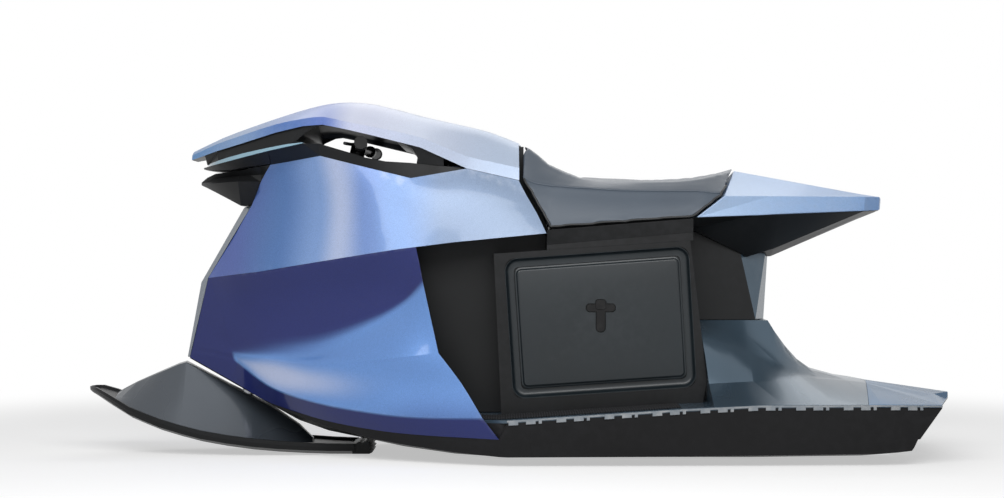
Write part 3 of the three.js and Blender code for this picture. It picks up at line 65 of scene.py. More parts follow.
lens = bpy.data.cameras.new("camera")
lens.lens = FOCAL_LENGTH
lens.sensor_width = SENSOR_WIDTH
lens.clip_end = VIEW_REACH
camera = new_object("camera", lens)
camera.location = CAMERA_PLACE
camera.rotation_euler = (math.radians(90.0), 0.0, math.radians(180.0))
scene.camera = camera
scene.view_settings.view_transform = "Standard"

# ---------------------------------------------------------------------------
# Studio: a white floor that keeps the craft's soft shadow and runs out into a white
# surround, a large soft lamp above to port and a much weaker one above to starboard.
FLOOR_SIZE = 60.0
FLOOR_WHITE = 0.75
FLOOR_LIFT = 0.49           # glow added to the floor where it is looked at
FLOOR_FADE = (1.7, 3.4)     # from the craft's middle, where the floor turns plain white
SURROUND_FILL = 0.16        # how much of the white surround also lights the craft
LAMP_SIZE = (3.6, 1.4)
LAMP_AIM = (0.0, 0.0, 0.5)


def material_graph(name):
    """A new material and its empty graph."""
    material = bpy.data.materials.new(name)
    material.use_nodes = True
    tree = material.node_tree
    tree.nodes.clear()
    return material, tree


def add_node(tree, kind, values=None, **settings):
    """One node of a graph, with its settings and the values of its input sockets."""
    node = tree.nodes.new(kind)
    for key, value in settings.items():
        setattr(node, key, value)
    for socket, value in (values or {}).items():
        node.inputs[socket].default_value = value
    return node


def seen_as_white(tree):
    """1 where a camera, mirror or clear ray arrives, so that the studio is white to look at."""
    path = add_node(tree, "ShaderNodeLightPath")
    either = add_node(tree, "ShaderNodeMath", operation="MAXIMUM")
    tree.links.new(path.outputs["Is Camera Ray"], either.inputs[0])
    tree.links.new(path.outputs["Is Glossy Ray"], either.inputs[1])
    any_of = add_node(tree, "ShaderNodeMath", operation="MAXIMUM")
    tree.links.new(either.outputs[0], any_of.inputs[0])
    tree.links.new(path.outputs["Is Transmission Ray"], any_of.inputs[1])
    return any_of.outputs[0]


def finished_mesh(name, shape):
    """The mesh of a finished bmesh, which is freed."""
    mesh = bpy.data.meshes.new(name)
    shape.to_mesh(mesh)
    shape.free()
    return mesh


def make_floor():
    """A lit plane that keeps the shadow near the craft and is plain white further out."""
    shape = bmesh.new()
    bmesh.ops.create_grid(shape, x_segments=1, y_segments=1, size=FLOOR_SIZE / 2)
    floor = new_object("floor", finished_mesh("floor", shape))
    material, tree = material_graph("studio_floor")
    out = add_node(tree, "ShaderNodeOutputMaterial")
    paint = add_node(
        tree, "ShaderNodeBsdfDiffuse", {"Color": (FLOOR_WHITE, FLOOR_WHITE, FLOOR_WHITE, 1)}
    )
    lift = add_node(tree, "ShaderNodeEmission")
    strength = add_node(tree, "ShaderNodeMath", {1: FLOOR_LIFT}, operation="MULTIPLY")
    white = seen_as_white(tree)
    tree.links.new(white, strength.inputs[0])
    tree.links.new(strength.outputs[0], lift.inputs["Strength"])
    both = add_node(tree, "ShaderNodeAddShader")
    tree.links.new(paint.outputs[0], both.inputs[0])
    tree.links.new(lift.outputs[0], both.inputs[1])
    # Far out the floor is the plain white of the surround, with no line between the two.
    place = add_node(tree, "ShaderNodeTexCoord")
    reach = add_node(tree, "ShaderNodeVectorMath", operation="LENGTH")
    fade = add_node(
        tree, "ShaderNodeMapRange", {"From Min": FLOOR_FADE[0], "From Max": FLOOR_FADE[1]},
        interpolation_type="SMOOTHERSTEP",
    )
    seen = add_node(tree, "ShaderNodeMath", operation="MULTIPLY")
    plain = add_node(tree, "ShaderNodeEmission", {"Strength": 1.0})
    blend = add_node(tree, "ShaderNodeMixShader")
    tree.links.new(place.outputs["Object"], reach.inputs[0])
    tree.links.new(reach.outputs["Value"], fade.inputs["Value"])
    tree.links.new(fade.outputs["Result"], seen.inputs[0])
    tree.links.new(white, seen.inputs[1])
    tree.links.new(seen.outputs[0], blend.inputs[0])
    tree.links.new(both.outputs[0], blend.inputs[1])
    tree.links.new(plain.outputs[0], blend.inputs[2])
    tree.links.new(blend.outputs[0], out.inputs["Surface"])
    floor.data.materials.append(material)


def make_surround():
    """A surround that is white to look at and lights the craft only a little."""
    world = bpy.data.worlds.new("surround")
    scene.world = world
    world.use_nodes = True
    tree = world.node_tree
    tree.nodes.clear()
    out = add_node(tree, "ShaderNodeOutputWorld")
    glow = add_node(tree, "ShaderNodeBackground", {"Color": (1.0, 1.0, 1.0, 1.0)})
    level = add_node(tree, "ShaderNodeMapRange", {"To Min": SURROUND_FILL, "To Max": 1.0})
    tree.links.new(seen_as_white(tree), level.inputs["Value"])
    tree.links.new(level.outputs["Result"], glow.inputs["Strength"])
    tree.links.new(glow.outputs[0], out.inputs["Surface"])


def make_lamp(name, place, power):
    """A soft lamp aimed at the craft's middle."""
    lamp = bpy.data.lights.new(name, "AREA")
    lamp.shape = "RECTANGLE"
    lamp.size, lamp.size_y = LAMP_SIZE
    lamp.energy = power
    stand = new_object(name, lamp)
    stand.location = place
    stand.rotation_euler = (Vector(LAMP_AIM) - Vector(place)).to_track_quat("-Z", "Y").to_euler()


make_floor()
make_surround()
make_lamp("port_lamp", (0.1, 3.1, 2.15), 90)
make_lamp("starboard_lamp", (-0.2, -2.6, 2.75), 22)

# ---------------------------------------------------------------------------
# Hull: a black moulded shell with a flat keel pad and hard chines. Its skin is a
# satin gelcoat with a fine orange peel, scuffed a little along the edges.
BLACK_GELCOAT = (0.0100, 0.0100, 0.0108, 1)
SMOOTH_ANGLE = 22.0         # degrees: faces that meet at less are shaded as one
WELD = 0.00002              # the CAD's loose corners are joined within this
FLAT_ANGLE = 0.4            # degrees: facets this near to one plane become one face


def orange_peel_group():
    """Orange peel of a sprayed or moulded skin: a height, and a slow change of gloss."""
    group = bpy.data.node_groups.new("orange_peel", "ShaderNodeTree")
    group.interface.new_socket("Scale", in_out="INPUT", socket_type="NodeSocketFloat")
    group.interface.new_socket("Height", in_out="OUTPUT", socket_type="NodeSocketFloat")
    group.interface.new_socket("Patches", in_out="OUTPUT", socket_type="NodeSocketFloat")
    inside = add_node(group, "NodeGroupInput")
    outside = add_node(group, "NodeGroupOutput")
    place = add_node(group, "ShaderNodeTexCoord")
    peel = add_node(group, "ShaderNodeTexNoise", {"Detail": 3.0, "Roughness": 0.55})
    slow = add_node(group, "ShaderNodeTexNoise", {"Scale": 3.5, "Detail": 2.0})
    group.links.new(place.outputs["Object"], peel.inputs["Vector"])
    group.links.new(place.outputs["Object"], slow.inputs["Vector"])
    group.links.new(inside.outputs["Scale"], peel.inputs["Scale"])
    group.links.new(peel.outputs["Fac"], outside.inputs["Height"])
    group.links.new(slow.outputs["Fac"], outside.inputs["Patches"])
    return group


orange_peel = orange_peel_group()


def edge_wear_group():
    """A mask of the outer edges that hands, straps and landings rub, broken up by noise."""
    group = bpy.data.node_groups.new("edge_wear", "ShaderNodeTree")
    group.interface.new_socket("Reach", in_out="INPUT", socket_type="NodeSocketFloat")
    group.interface.new_socket("Wear", in_out="OUTPUT", socket_type="NodeSocketFloat")
    inside = add_node(group, "NodeGroupInput")
    outside = add_node(group, "NodeGroupOutput")
    place = add_node(group, "ShaderNodeTexCoord")
    sharp = add_node(group, "ShaderNodeNewGeometry")
    pick = add_node(group, "ShaderNodeMapRange", {"From Min": 0.52, "From Max": 0.60})
    broken = add_node(group, "ShaderNodeTexNoise", {"Scale": 38.0, "Detail": 4.0})
    patch = add_node(group, "ShaderNodeMapRange", {"From Min": 0.42, "From Max": 0.66})
    both = add_node(group, "ShaderNodeMath", operation="MULTIPLY")
    scaled = add_node(group, "ShaderNodeMath", operation="MULTIPLY")
    group.links.new(sharp.outputs["Pointiness"], pick.inputs["Value"])
    group.links.new(place.outputs["Object"], broken.inputs["Vector"])
    group.links.new(broken.outputs["Fac"], patch.inputs["Value"])
    group.links.new(pick.outputs["Result"], both.inputs[0])
    group.links.new(patch.outputs["Result"], both.inputs[1])
    group.links.new(both.outputs[0], scaled.inputs[0])
    group.links.new(inside.outputs["Reach"], scaled.inputs[1])
    group.links.new(scaled.outputs[0], outside.inputs["Wear"])
    return group


edge_wear = edge_wear_group()


def moulded_skin(name, colour, worn, roughness, peel_scale=260.0, peel_depth=0.00004,
                 metallic=0.0, coat=0.0, coat_roughness=0.06, specular=0.5, wear=0.5,
                 gloss_change=0.12, tone_change=0.12):
    """A sprayed or moulded skin: its tone and gloss shift slowly, and its edges wear.

    worn is the colour that shows where the edges are rubbed.
    """
    material, tree = material_graph(name)
    out = add_node(tree, "ShaderNodeOutputMaterial")
    skin = add_node(
        tree,
        "ShaderNodeBsdfPrincipled",
        {
            "Metallic": metallic,
            "Coat Weight": coat,
            "Coat Roughness": coat_roughness,
            "Specular IOR Level": specular,
        },
    )
    peel = add_node(tree, "ShaderNodeGroup", node_tree=orange_peel)
    peel.inputs["Scale"].default_value = peel_scale
    rubbed = add_node(tree, "ShaderNodeGroup", node_tree=edge_wear)
    rubbed.inputs["Reach"].default_value = wear
    tone = add_node(tree, "ShaderNodeMapRange", {"From Min": 0.3, "From Max": 0.7})
    dark = tuple(c * (1 - tone_change) for c in colour[:3]) + (1,)
    light = tuple(c * (1 + tone_change) for c in colour[:3]) + (1,)
    ground = add_node(tree, "ShaderNodeMix", {6: dark, 7: light}, data_type="RGBA")
    face = add_node(tree, "ShaderNodeMix", {7: worn}, data_type="RGBA")
    gloss = add_node(
        tree,
        "ShaderNodeMapRange",
        {"From Min": 0.3, "From Max": 0.7, "To Min": roughness,
         "To Max": roughness * (1 + gloss_change)},
    )
    bump = add_node(tree, "ShaderNodeBump", {"Strength": 1.0, "Distance": peel_depth})
    tree.links.new(peel.outputs["Patches"], tone.inputs["Value"])
    tree.links.new(tone.outputs["Result"], ground.inputs[0])
    tree.links.new(ground.outputs[2], face.inputs[6])
    tree.links.new(rubbed.outputs["Wear"], face.inputs[0])
    tree.links.new(face.outputs[2], skin.inputs["Base Color"])
    tree.links.new(peel.outputs["Patches"], gloss.inputs["Value"])
    tree.links.new(gloss.outputs["Result"], skin.inputs["Roughness"])
    tree.links.new(peel.outputs["Height"], bump.inputs["Height"])
    tree.links.new(bump.outputs["Normal"], skin.inputs["Normal"])
    tree.links.new(skin.outputs[0], out.inputs["Surface"])
    return material


def place_piece(name, mesh, body, slot, *materials):
    """Puts a finished mesh in the scene with its materials, and lets it ride on its body."""
    for material in materials:
        mesh.materials.append(material)
    piece = new_object(name, mesh)
    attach(piece, body)
    return piece


def merged_copy(node):
    """A bmesh of a CAD node with its loose triangles joined and its flat facets merged."""
    shape = bmesh.new()
    shape.from_mesh(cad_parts[node].data)
    bmesh.ops.remove_doubles(shape, verts=shape.verts, dist=WELD)
    bmesh.ops.dissolve_limit(
        shape, angle_limit=math.radians(FLAT_ANGLE), verts=shape.verts, edges=shape.edges
    )
    return shape


def shade_by_angle(shape, angle):
    """Smooth faces, with a sharp edge wherever two of them meet at more than the angle."""
    for face in shape.faces:
        face.smooth = True
    for seam in shape.edges:
        if len(seam.link_faces) == 2:
            seam.smooth = seam.calc_face_angle(0.0) < math.radians(angle)


def round_edges(piece, width, angle):
    """Rounds a piece's hard edges."""
    rounding = piece.modifiers.new("edges", "BEVEL")
    rounding.width = width
    rounding.segments = 2
    rounding.limit_method = "ANGLE"
    rounding.angle_limit = math.radians(angle)
    rounding.harden_normals = True
    rounding.use_clamp_overlap = True


def skin_copy(node, body, slot, material, edge, angle=SMOOTH_ANGLE, second_material=None,
              second_faces=None):
    """A CAD node's own shape with smooth faces and its edges rounded by the width edge.

    second_material is a second material, for the faces that second_faces(face) picks; on the
    hood's down-facing faces it is partly painted shade, on the neck's stern-facing facets a
    painted highlight.
    """
    shape = merged_copy(node)
    shade_by_angle(shape, angle)
    if second_material:
        for face in shape.faces:
            face.material_index = 1 if second_faces(face) else 0
    name = node + "_skin"
    materials = [material, second_material] if second_material else [material]
    piece = place_piece(name, finished_mesh(name, shape), body, slot, *materials)
    round_edges(piece, edge, angle)
    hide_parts(node)


def finish_cad(material, *nodes):
    """Gives CAD pieces whose shape is right their material."""
    for node in nodes:
        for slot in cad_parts[node].material_slots:
            slot.material = material


black_gelcoat = moulded_skin(
    "black_gelcoat", BLACK_GELCOAT, (0.045, 0.045, 0.05, 1), 0.42, specular=0.16, wear=0.35
)
skin_copy("hull", "craft", "black", black_gelcoat, edge=0.003)

# ---------------------------------------------------------------------------
# Deck: a polished dark grey moulding that flows from the neck down over the stern. The stern
# platform behind it has the same clear coat over a bluer colour, a painted reflection of blue sky.
POLISHED_GREY = (0.072, 0.112, 0.152, 1)
STERN_PAINTED_SKY_BLUE = (0.028, 0.115, 0.240, 1)
polished_deck = moulded_skin(
    "polished_deck", POLISHED_GREY, (0.20, 0.22, 0.25, 1), 0.24, metallic=0.4, coat=0.12,
    coat_roughness=0.05, peel_scale=120.0, wear=0.3,
)
skin_copy("deck", "craft", "gloss_dark", polished_deck, edge=0.002, angle=30)
polished_stern_painted_reflection = moulded_skin(
    "polished_stern_painted_reflection", STERN_PAINTED_SKY_BLUE, (0.25, 0.30, 0.36, 1), 0.26, metallic=0.4, coat=0.08,
    coat_roughness=0.05, peel_scale=120.0, wear=0.3,
)
skin_copy("stern_platform", "craft", "gloss_dark", polished_stern_painted_reflection, edge=0.003)

# ---------------------------------------------------------------------------
# Spine: the satin black box under the saddle that holds the battery. The facets of its neck that
# face the stern are given the deck's paler polished finish, a painted highlight for the light they
# catch from the stern.
SATIN_BLACK = (0.0135, 0.0142, 0.0150, 1)
satin_black = moulded_skin(
    "satin_black", SATIN_BLACK, (0.04, 0.04, 0.045, 1), 0.36, specular=0.18, wear=0.3
)
NECK_END = -0.52
STERNWARD = -0.5            # a face whose normal lies past this along x looks to the stern


def faces_stern(face):
    """Whether a face is one of the neck's that look to the stern."""
    return face.normal.x < STERNWARD and face.calc_center_median().x < NECK_END


# Painted highlight: the neck's facets that face the stern take the deck's paler polished finish
# for the light they catch.
skin_copy(
    "spine", "craft", "black", satin_black, edge=0.003, second_material=polished_deck,
    second_faces=faces_stern,
)

# ---------------------------------------------------------------------------
# Side panels: resin mouldings sprayed in metallic blues over a pale primer, with fine flake in the
# colour and a clear coat over it. The blues fade from tone to tone with painted light: paler where
# the lamps would light and reflect, deeper where shade falls.
# Painted light: the pale stop at 0.54 is a painted highlight, and the deeper stops towards the bow
# are painted shade.
SIDE_BLUE_PAINTED_LIGHT = (                       # where along the craft, and the colour there
    (0.00, (0.250, 0.330, 0.470, 1)), (0.22, (0.265, 0.350, 0.510, 1)),
    (0.36, (0.200, 0.330, 0.620, 1)), (0.45, (0.190, 0.300, 0.610, 1)),
    (0.54, (0.440, 0.520, 0.740, 1)), (0.62, (0.215, 0.345, 0.640, 1)),
    (0.74, (0.100, 0.205, 0.470, 1)), (0.88, (0.110, 0.160, 0.440, 1)),
)
# Painted light on the lower panel: deep for the painted shade of the hollow, pale for the painted
# highlight below the fold.
DEEP_BLUE_PAINTED_LIGHT = (                       # by the fade drawn over the lower panel
    (0.0, (0.0165, 0.026, 0.150, 1)), (0.5, (0.140, 0.290, 0.640, 1)),
    (1.0, (0.460, 0.530, 0.740, 1)),
)
PRIMER = (0.52, 0.58, 0.70, 1)
FLAKE_SCALE = 1300.0
FADE_DRIFT = 0.05           # how far a fade wanders to and fro along the craft
FADE_DRIFT_SCALE = 3.0


def flake_group():
    """Metal flake in the colour coat: small cells, each a little lighter or darker."""
    group = bpy.data.node_groups.new("paint_flake", "ShaderNodeTree")
    group.interface.new_socket("Color", in_out="INPUT", socket_type="NodeSocketColor")
    group.interface.new_socket("Sparkle", in_out="INPUT", socket_type="NodeSocketFloat")
    group.interface.new_socket("Color", in_out="OUTPUT", socket_type="NodeSocketColor")
    inside = add_node(group, "NodeGroupInput")
    outside = add_node(group, "NodeGroupOutput")
    place = add_node(group, "ShaderNodeTexCoord")
    cells = add_node(group, "ShaderNodeTexVoronoi", {"Scale": FLAKE_SCALE})
    spread = add_node(group, "ShaderNodeSeparateColor")
    size = add_node(group, "ShaderNodeMath", operation="MULTIPLY")
    value = add_node(group, "ShaderNodeMath", {1: 1.0}, operation="ADD")
    centre = add_node(group, "ShaderNodeMath", {1: 0.5}, operation="SUBTRACT")
    shade = add_node(group, "ShaderNodeVectorMath", operation="SCALE")
    group.links.new(place.outputs["Object"], cells.inputs["Vector"])
    group.links.new(cells.outputs["Color"], spread.inputs["Color"])
    group.links.new(spread.outputs["Red"], centre.inputs[0])
    group.links.new(centre.outputs[0], size.inputs[0])
    group.links.new(inside.outputs["Sparkle"], size.inputs[1])
    group.links.new(size.outputs[0], value.inputs[0])
    group.links.new(inside.outputs["Color"], shade.inputs[0])
    group.links.new(value.outputs[0], shade.inputs["Scale"])
    group.links.new(shade.outputs["Vector"], outside.inputs["Color"])
    return group


paint_flake = flake_group()


def painted_light_fade(name, stops, along=None, roughness=0.34, metallic=0.15, coat=0.5,
               sparkle=0.35, wear=0.35):
    """Metallic paint faded from colour to colour, by place along the craft or by an attribute: the
    fade is painted light, paler where the lamps would light and reflect and deeper where shade
    falls.
    """
    material = moulded_skin(
        name, stops[0][1], PRIMER, roughness, metallic=metallic, coat=coat, coat_roughness=0.07,
        peel_scale=180.0, peel_depth=0.00003, wear=wear, tone_change=0.05, specular=0.12,
    )
    tree = material.node_tree
    skin = next(node for node in tree.nodes if node.type == "BSDF_PRINCIPLED")
    face = skin.inputs["Base Color"].links[0].from_node
    reach = add_node(
        tree, "ShaderNodeMapRange", {"From Min": stops[0][0], "From Max": stops[-1][0]}
    )
    if along:
        drawn = add_node(tree, "ShaderNodeAttribute", attribute_name=along)
        tree.links.new(drawn.outputs["Fac"], reach.inputs["Value"])
    else:
        place = add_node(tree, "ShaderNodeTexCoord")
        parts = add_node(tree, "ShaderNodeSeparateXYZ")
        drift = add_node(tree, "ShaderNodeTexNoise", {"Scale": FADE_DRIFT_SCALE, "Detail": 0.0})
        moved = add_node(
            tree, "ShaderNodeMath", {1: 2 * FADE_DRIFT}, operation="MULTIPLY_ADD"
        )
        evened = add_node(tree, "ShaderNodeMath", {1: FADE_DRIFT}, operation="SUBTRACT")
        tree.links.new(place.outputs["Object"], parts.inputs[0])
        tree.links.new(place.outputs["Object"], drift.inputs["Vector"])
        tree.links.new(drift.outputs[0], moved.inputs[0])
        tree.links.new(parts.outputs["X"], moved.inputs[2])
        tree.links.new(moved.outputs[0], evened.inputs[0])
        tree.links.new(evened.outputs[0], reach.inputs["Value"])
    # The ramp's colours are painted light and shade, not the paint's own change of tone.
    ramp = add_node(tree, "ShaderNodeValToRGB")
    colours = ramp.color_ramp
    colours.interpolation = "EASE"
    colours.elements.remove(colours.elements[1])
    colours.elements[0].position, colours.elements[0].color = 0.0, stops[0][1]
    for where, colour in stops[1:]:
        step = colours.elements.new((where - stops[0][0]) / (stops[-1][0] - stops[0][0]))
        step.color = colour
    flake = add_node(tree, "ShaderNodeGroup", node_tree=paint_flake)
    flake.inputs["Sparkle"].default_value = sparkle
    tree.links.new(reach.outputs["Result"], ramp.inputs[0])
    tree.links.new(ramp.outputs["Color"], face.inputs[6])
    tree.links.new(face.outputs[2], flake.inputs["Color"])
    tree.links.new(flake.outputs["Color"], skin.inputs["Base Color"])
    return material


side_blue_painted_light = painted_light_fade("side_blue_metallic_painted_light", SIDE_BLUE_PAINTED_LIGHT, coat=0.35)
deep_blue = painted_light_fade("deep_blue_metallic_painted_light", DEEP_BLUE_PAINTED_LIGHT, along="fade")

# The lower panel, front edge to rear edge: waist, hollow, soft fold, crease, middle of the lower
# facet, chine, foot, each x, y, z in millimetres and how pale the paint is there, which is a
# painted highlight: the bright crescent below the fold and on the flare.
LOWER_PANEL = (
    ((968, 78, 549, 0), (991.5, 62, 455, 0), (1008, 51, 390, 0), (1020.5, 43, 340, 0),
     (1024.5, 40, 325, 0), (1028, 38.5, 314, 0), (1032, 36, 300, 0)),
    ((962, 82.4, 549.7, 0), (925, 98, 440, 0), (888, 106, 338, 0), (880, 110, 312, 0.35),
     (876, 110, 302, 0.6), (872, 111, 292, 0.5), (893, 90, 230, 0)),
    ((800, 200, 569, 0), (785, 169, 470, 0), (773, 163, 340, 0.12), (770, 177, 300, 0.65),
     (764, 184, 262, 1), (758, 195, 220, 0.7), (762, 150, 165, 0)),
    ((610, 270, 600, 0), (610, 227, 492, 0), (612, 212, 350, 0.32), (630, 245, 290, 0.55),
     (622, 256, 236, 0.85), (612, 271, 178, 0.5), (597, 235, 122, 0)),
    ((440, 324, 627, 0), (445, 271, 512, 0), (450, 262, 406, 0.5), (470, 307, 303, 0.45),
     (462, 317, 232, 0.6), (450, 331, 154, 0.45), (440, 300, 98, 0)),
    ((360, 337, 639, 0), (352, 296, 528, 0), (352, 293, 464, 0.5), (352, 348, 318, 0.5),
     (325, 353, 240, 0.5), (300, 383, 143, 0.3), (300, 358, 88, 0)),
    ((311, 340, 645, 0), (297, 331, 575, 0), (287, 328, 522, 0.45), (243, 366, 331, 0.5),
     (174, 396, 242, 0.48), (113, 440, 146, 0.3), (64, 440, 82, 0)),
)
# Painted shade: the paint stays deep ahead of this column, above the fold and below the chine.
PAINTED_SHADE_COLUMN, PAINTED_SHADE_ROWS = 0.99, (1.6, 2.05, 5.01)    # where the paint is deep whatever it says
PANEL_PARTS = (10, 7)       # between two columns and between two rows of the table
PANEL_CREASES = ((1,), (3, 5))      # the columns and the rows that stay sharp
CREASE_NEAR = 0.01          # how near a crease's column or row an edge counts as on it
PANEL_SHARP = 40.0          # degrees
PANEL_EDGE, PANEL_EDGE_ANGLE = 0.002, 45
WING_COLUMN = 4             # aft of this the panel is a thin leg shield, ahead of it solid
WING_WALL = 0.012
CORE_HALF = 0.0235          # leaves the ski spindle its room between the two panels


def along_line(points, station, sharp):
    """A point on the smooth line through some points, which breaks at the sharp ones."""
    first = min(int(station), len(points) - 2)
    t = station - first
    a, b, c, d = (points[min(max(first + k, 0), len(points) - 1)] for k in (-1, 0, 1, 2))
    start = (c - a) / 2 if first > 0 and first not in sharp else c - b
    end = (d - b) / 2 if first + 2 < len(points) and first + 1 not in sharp else c - b
    return (
        b * (2 * t ** 3 - 3 * t ** 2 + 1) + start * (t ** 3 - 2 * t ** 2 + t)
        + c * (3 * t ** 2 - 2 * t ** 3) + end * (t ** 3 - t ** 2)
    )


def place_key(vert):
    """A vert's place, rounded so that its copy at the same place can be found."""
    return tuple(round(value, 6) for value in vert.co)


def lower_panel_mesh(side):
    """A net drawn over the table's lines, closed by a wall behind it, whose fade attribute carries
    the painted highlight below the fold and the painted shade above it and below the chine.
    """
    columns = [
        [Vector((x / 1000, y / 1000, z / 1000, pale)) for x, y, z, pale in column]
        for column in LOWER_PANEL
    ]
    across, down = len(columns) - 1, len(columns[0]) - 1
    fold_top, fold_foot, chine = PAINTED_SHADE_ROWS
    shape = bmesh.new()
    fade = shape.verts.layers.float.new("fade")
    bmesh.ops.create_grid(
        shape, x_segments=across * PANEL_PARTS[0], y_segments=down * PANEL_PARTS[1], size=0.5
    )
    station = {}
    for vert in shape.verts:
        s, t = (vert.co.x + 0.5) * across, (vert.co.y + 0.5) * down
        line = [along_line(column, t, PANEL_CREASES[1]) for column in columns]
        station[vert] = (s, t)
        found = along_line(line, s, PANEL_CREASES[0])
        vert.co = found.xyz
        # Painted light: the fade rises from the painted shade of the hollow to the painted
        # highlight below the fold.
        rise = min(max((t - fold_top) / (fold_foot - fold_top), 0), 1)
        lit = 0.0 if s < PAINTED_SHADE_COLUMN or t > chine else rise * rise * (3 - 2 * rise)
        vert[fade] = min(max(found.w, 0), 1) * lit
    creases = [
        edge for edge in shape.edges
        if any(all(abs(station[vert][k] - row) < CREASE_NEAR for vert in edge.verts)
               for k in (0, 1) for row in PANEL_CREASES[k])
    ]
    places = {}
    for vert in shape.verts:
        wall = vert.co.y - WING_WALL if station[vert][0] > WING_COLUMN else CORE_HALF
        places[place_key(vert)] = wall
    back = bmesh.ops.extrude_face_region(shape, geom=list(shape.faces))
    for item in back["geom"]:
        if isinstance(item, bmesh.types.BMVert):
            item.co.y = places[place_key(item)]
    if side == "starboard":
        bmesh.ops.scale(shape, vec=(1, -1, 1), verts=shape.verts)
    bmesh.ops.recalc_face_normals(shape, faces=shape.faces)
    shade_by_angle(shape, PANEL_SHARP)
    for edge in creases:
        edge.smooth = False
    return finished_mesh("side_panel_lower", shape)


for side in ("port", "starboard"):
    skin_copy("side_panel_upper_" + side, "craft", "light_blue", side_blue_painted_light, edge=0.002)
    node = "side_panel_lower_" + side
    flank = place_piece(node + "_skin", lower_panel_mesh(side), "craft", "deep_blue", deep_blue)
    round_edges(flank, PANEL_EDGE, PANEL_EDGE_ANGLE)
    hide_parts(node)

# ---------------------------------------------------------------------------
# Stem panel: the narrow grey-blue facet that closes the bow between the two sides, a moulding like
# them with the same flake in its paint. Its grey is darker towards the bow, painted shade.
STEM_GREY_PAINTED_SHADE = ((0.70, (0.100, 0.145, 0.195, 1)), (1.03, (0.075, 0.115, 0.165, 1)))
stem_grey = painted_light_fade("stem_grey_metallic_painted_shade", STEM_GREY_PAINTED_SHADE, coat=0.15, wear=0.0)
skin_copy("stem_panel", "craft", "stem_grey", stem_grey, edge=0.003)

# ---------------------------------------------------------------------------
# Hood and tail: light blue mouldings in the sides' flake paint, faded along the craft with painted
# light: the pale stops paint highlights and reflections, the deep ones shade. The hood is open
# through its sides, and every face of it that looks down is black: partly its unpainted inside,
# where it hangs over the handlebar, and partly painted shade under it.
UNDERSIDE = -0.35           # a face whose normal lies below this looks down
# Painted light: the pale stops are painted highlights and reflections, the deep stops painted
# shade.
HOOD_BLUE_PAINTED_LIGHT = (
    (0.00, (0.500, 0.600, 0.770, 1)), (0.28, (0.560, 0.630, 0.790, 1)),
    (0.47, (0.560, 0.600, 0.770, 1)), (0.57, (0.140, 0.215, 0.540, 1)),
    (0.70, (0.125, 0.230, 0.540, 1)), (0.88, (0.260, 0.400, 0.660, 1)),
    (1.02, (0.150, 0.330, 0.640, 1)),
)
# Painted light: paler towards the middle, a painted highlight, and deeper at the tail's tip,
# painted shade.
TAIL_BLUE_PAINTED_LIGHT = (
    (-1.13, (0.210, 0.390, 0.740, 1)), (-1.00, (0.330, 0.490, 0.770, 1)),
    (-0.52, (0.410, 0.550, 0.770, 1)),
)
hood_blue_painted_light = painted_light_fade("hood_blue_metallic_painted_light", HOOD_BLUE_PAINTED_LIGHT, coat=0.15)
tail_blue_painted_light = painted_light_fade("tail_blue_metallic_painted_light", TAIL_BLUE_PAINTED_LIGHT, coat=0.15)


def faces_down(face):
    """Whether a face belongs to the underside."""
    return face.normal.z < UNDERSIDE


# Painted shade: every face of the hood that looks down is satin black, partly the hood's unpainted
# inside and partly shade under its overhang.
skin_copy(
    "hood", "craft", "light_blue", hood_blue_painted_light, edge=0.003, angle=18, second_material=satin_black,
    second_faces=faces_down,
)
skin_copy("tail_cowl", "craft", "light_blue", tail_blue_painted_light, edge=0.003)

# ---------------------------------------------------------------------------
# Console and nose: satin black mouldings that carry the handlebar and close the front,
# with the dash screen let into the console's top.
for node in ("console", "nose_wedge", "hood_liner", "nose_blade"):
    skin_copy(node, "craft", "black", satin_black, edge=0.002)
SMOKED_GLASS = (0.012, 0.018, 0.024, 1)
smoked_glass = moulded_skin(
    "smoked_glass", SMOKED_GLASS, (0.03, 0.035, 0.04, 1), 0.07, coat=0.8, coat_roughness=0.03,
    peel_depth=0.000005, wear=0.1,
)
skin_copy("dash_display", "craft", "gloss_dark", smoked_glass, edge=0.001)

# ---------------------------------------------------------------------------
# Light bar: one long moulding, pale blue and glossy, which runs round the nose under the
# hood's edge.
LENS_BLUE = (0.26, 0.46, 0.58, 1)
lamp_lens = moulded_skin(
    "lamp_lens", LENS_BLUE, (0.55, 0.6, 0.65, 1), 0.12, coat=1.0, coat_roughness=0.03,
    peel_scale=60.0, wear=0.1,
)
skin_copy("light_bar", "craft", "lamp", lamp_lens, edge=0.0008)

# ---------------------------------------------------------------------------
# Battery hatches: one each side, a pressed slate-grey cover with a soft rounded edge, a
# crowned face and a pocket for its latch. Each closes into a coved trim round the bay.
HATCH_CORNERS = ((0.019, 0.582), (-0.481, 0.618), (-0.502, 0.250), (-0.005, 0.217))  # x, z
HATCH_CORNER_RADIUS = 0.020
HATCH_FACE = 0.2670
HATCH_BACK = 0.2475
HATCH_SHOULDER = 0.0085     # below the face, where the cover's edge begins to turn in
HATCH_EDGE = (              # each step in from the edge, and out
    (0.0006, 0.0014), (0.0014, 0.0006), (0.0030, 0.0004), (0.0016, 0.0016), (0.0014, 0.0022),
    (0.0014, 0.0010), (0.0022, 0.0004),
)
LATCH_RISE = 0.045          # the latch's middle above the cover's
LATCH_PARTS = (             # crossbar, boss and stem: half width, foot, head, corner radius
    (0.043, -0.011, 0.011, 0.0095), (0.015, -0.005, 0.024, 0.008), (0.013, -0.072, 0.005, 0.012),
)
POCKET_MARGIN = 0.0025      # round the latch
POCKET_DEPTH = 0.0115
POCKET_CUT = 0.03           # how far the cutter stands out of the pocket's floor
POCKET_SHARP = 28.0         # degrees
POCKET_WELD = 0.00005
SLATE = (0.0095, 0.0145, 0.0180, 1)
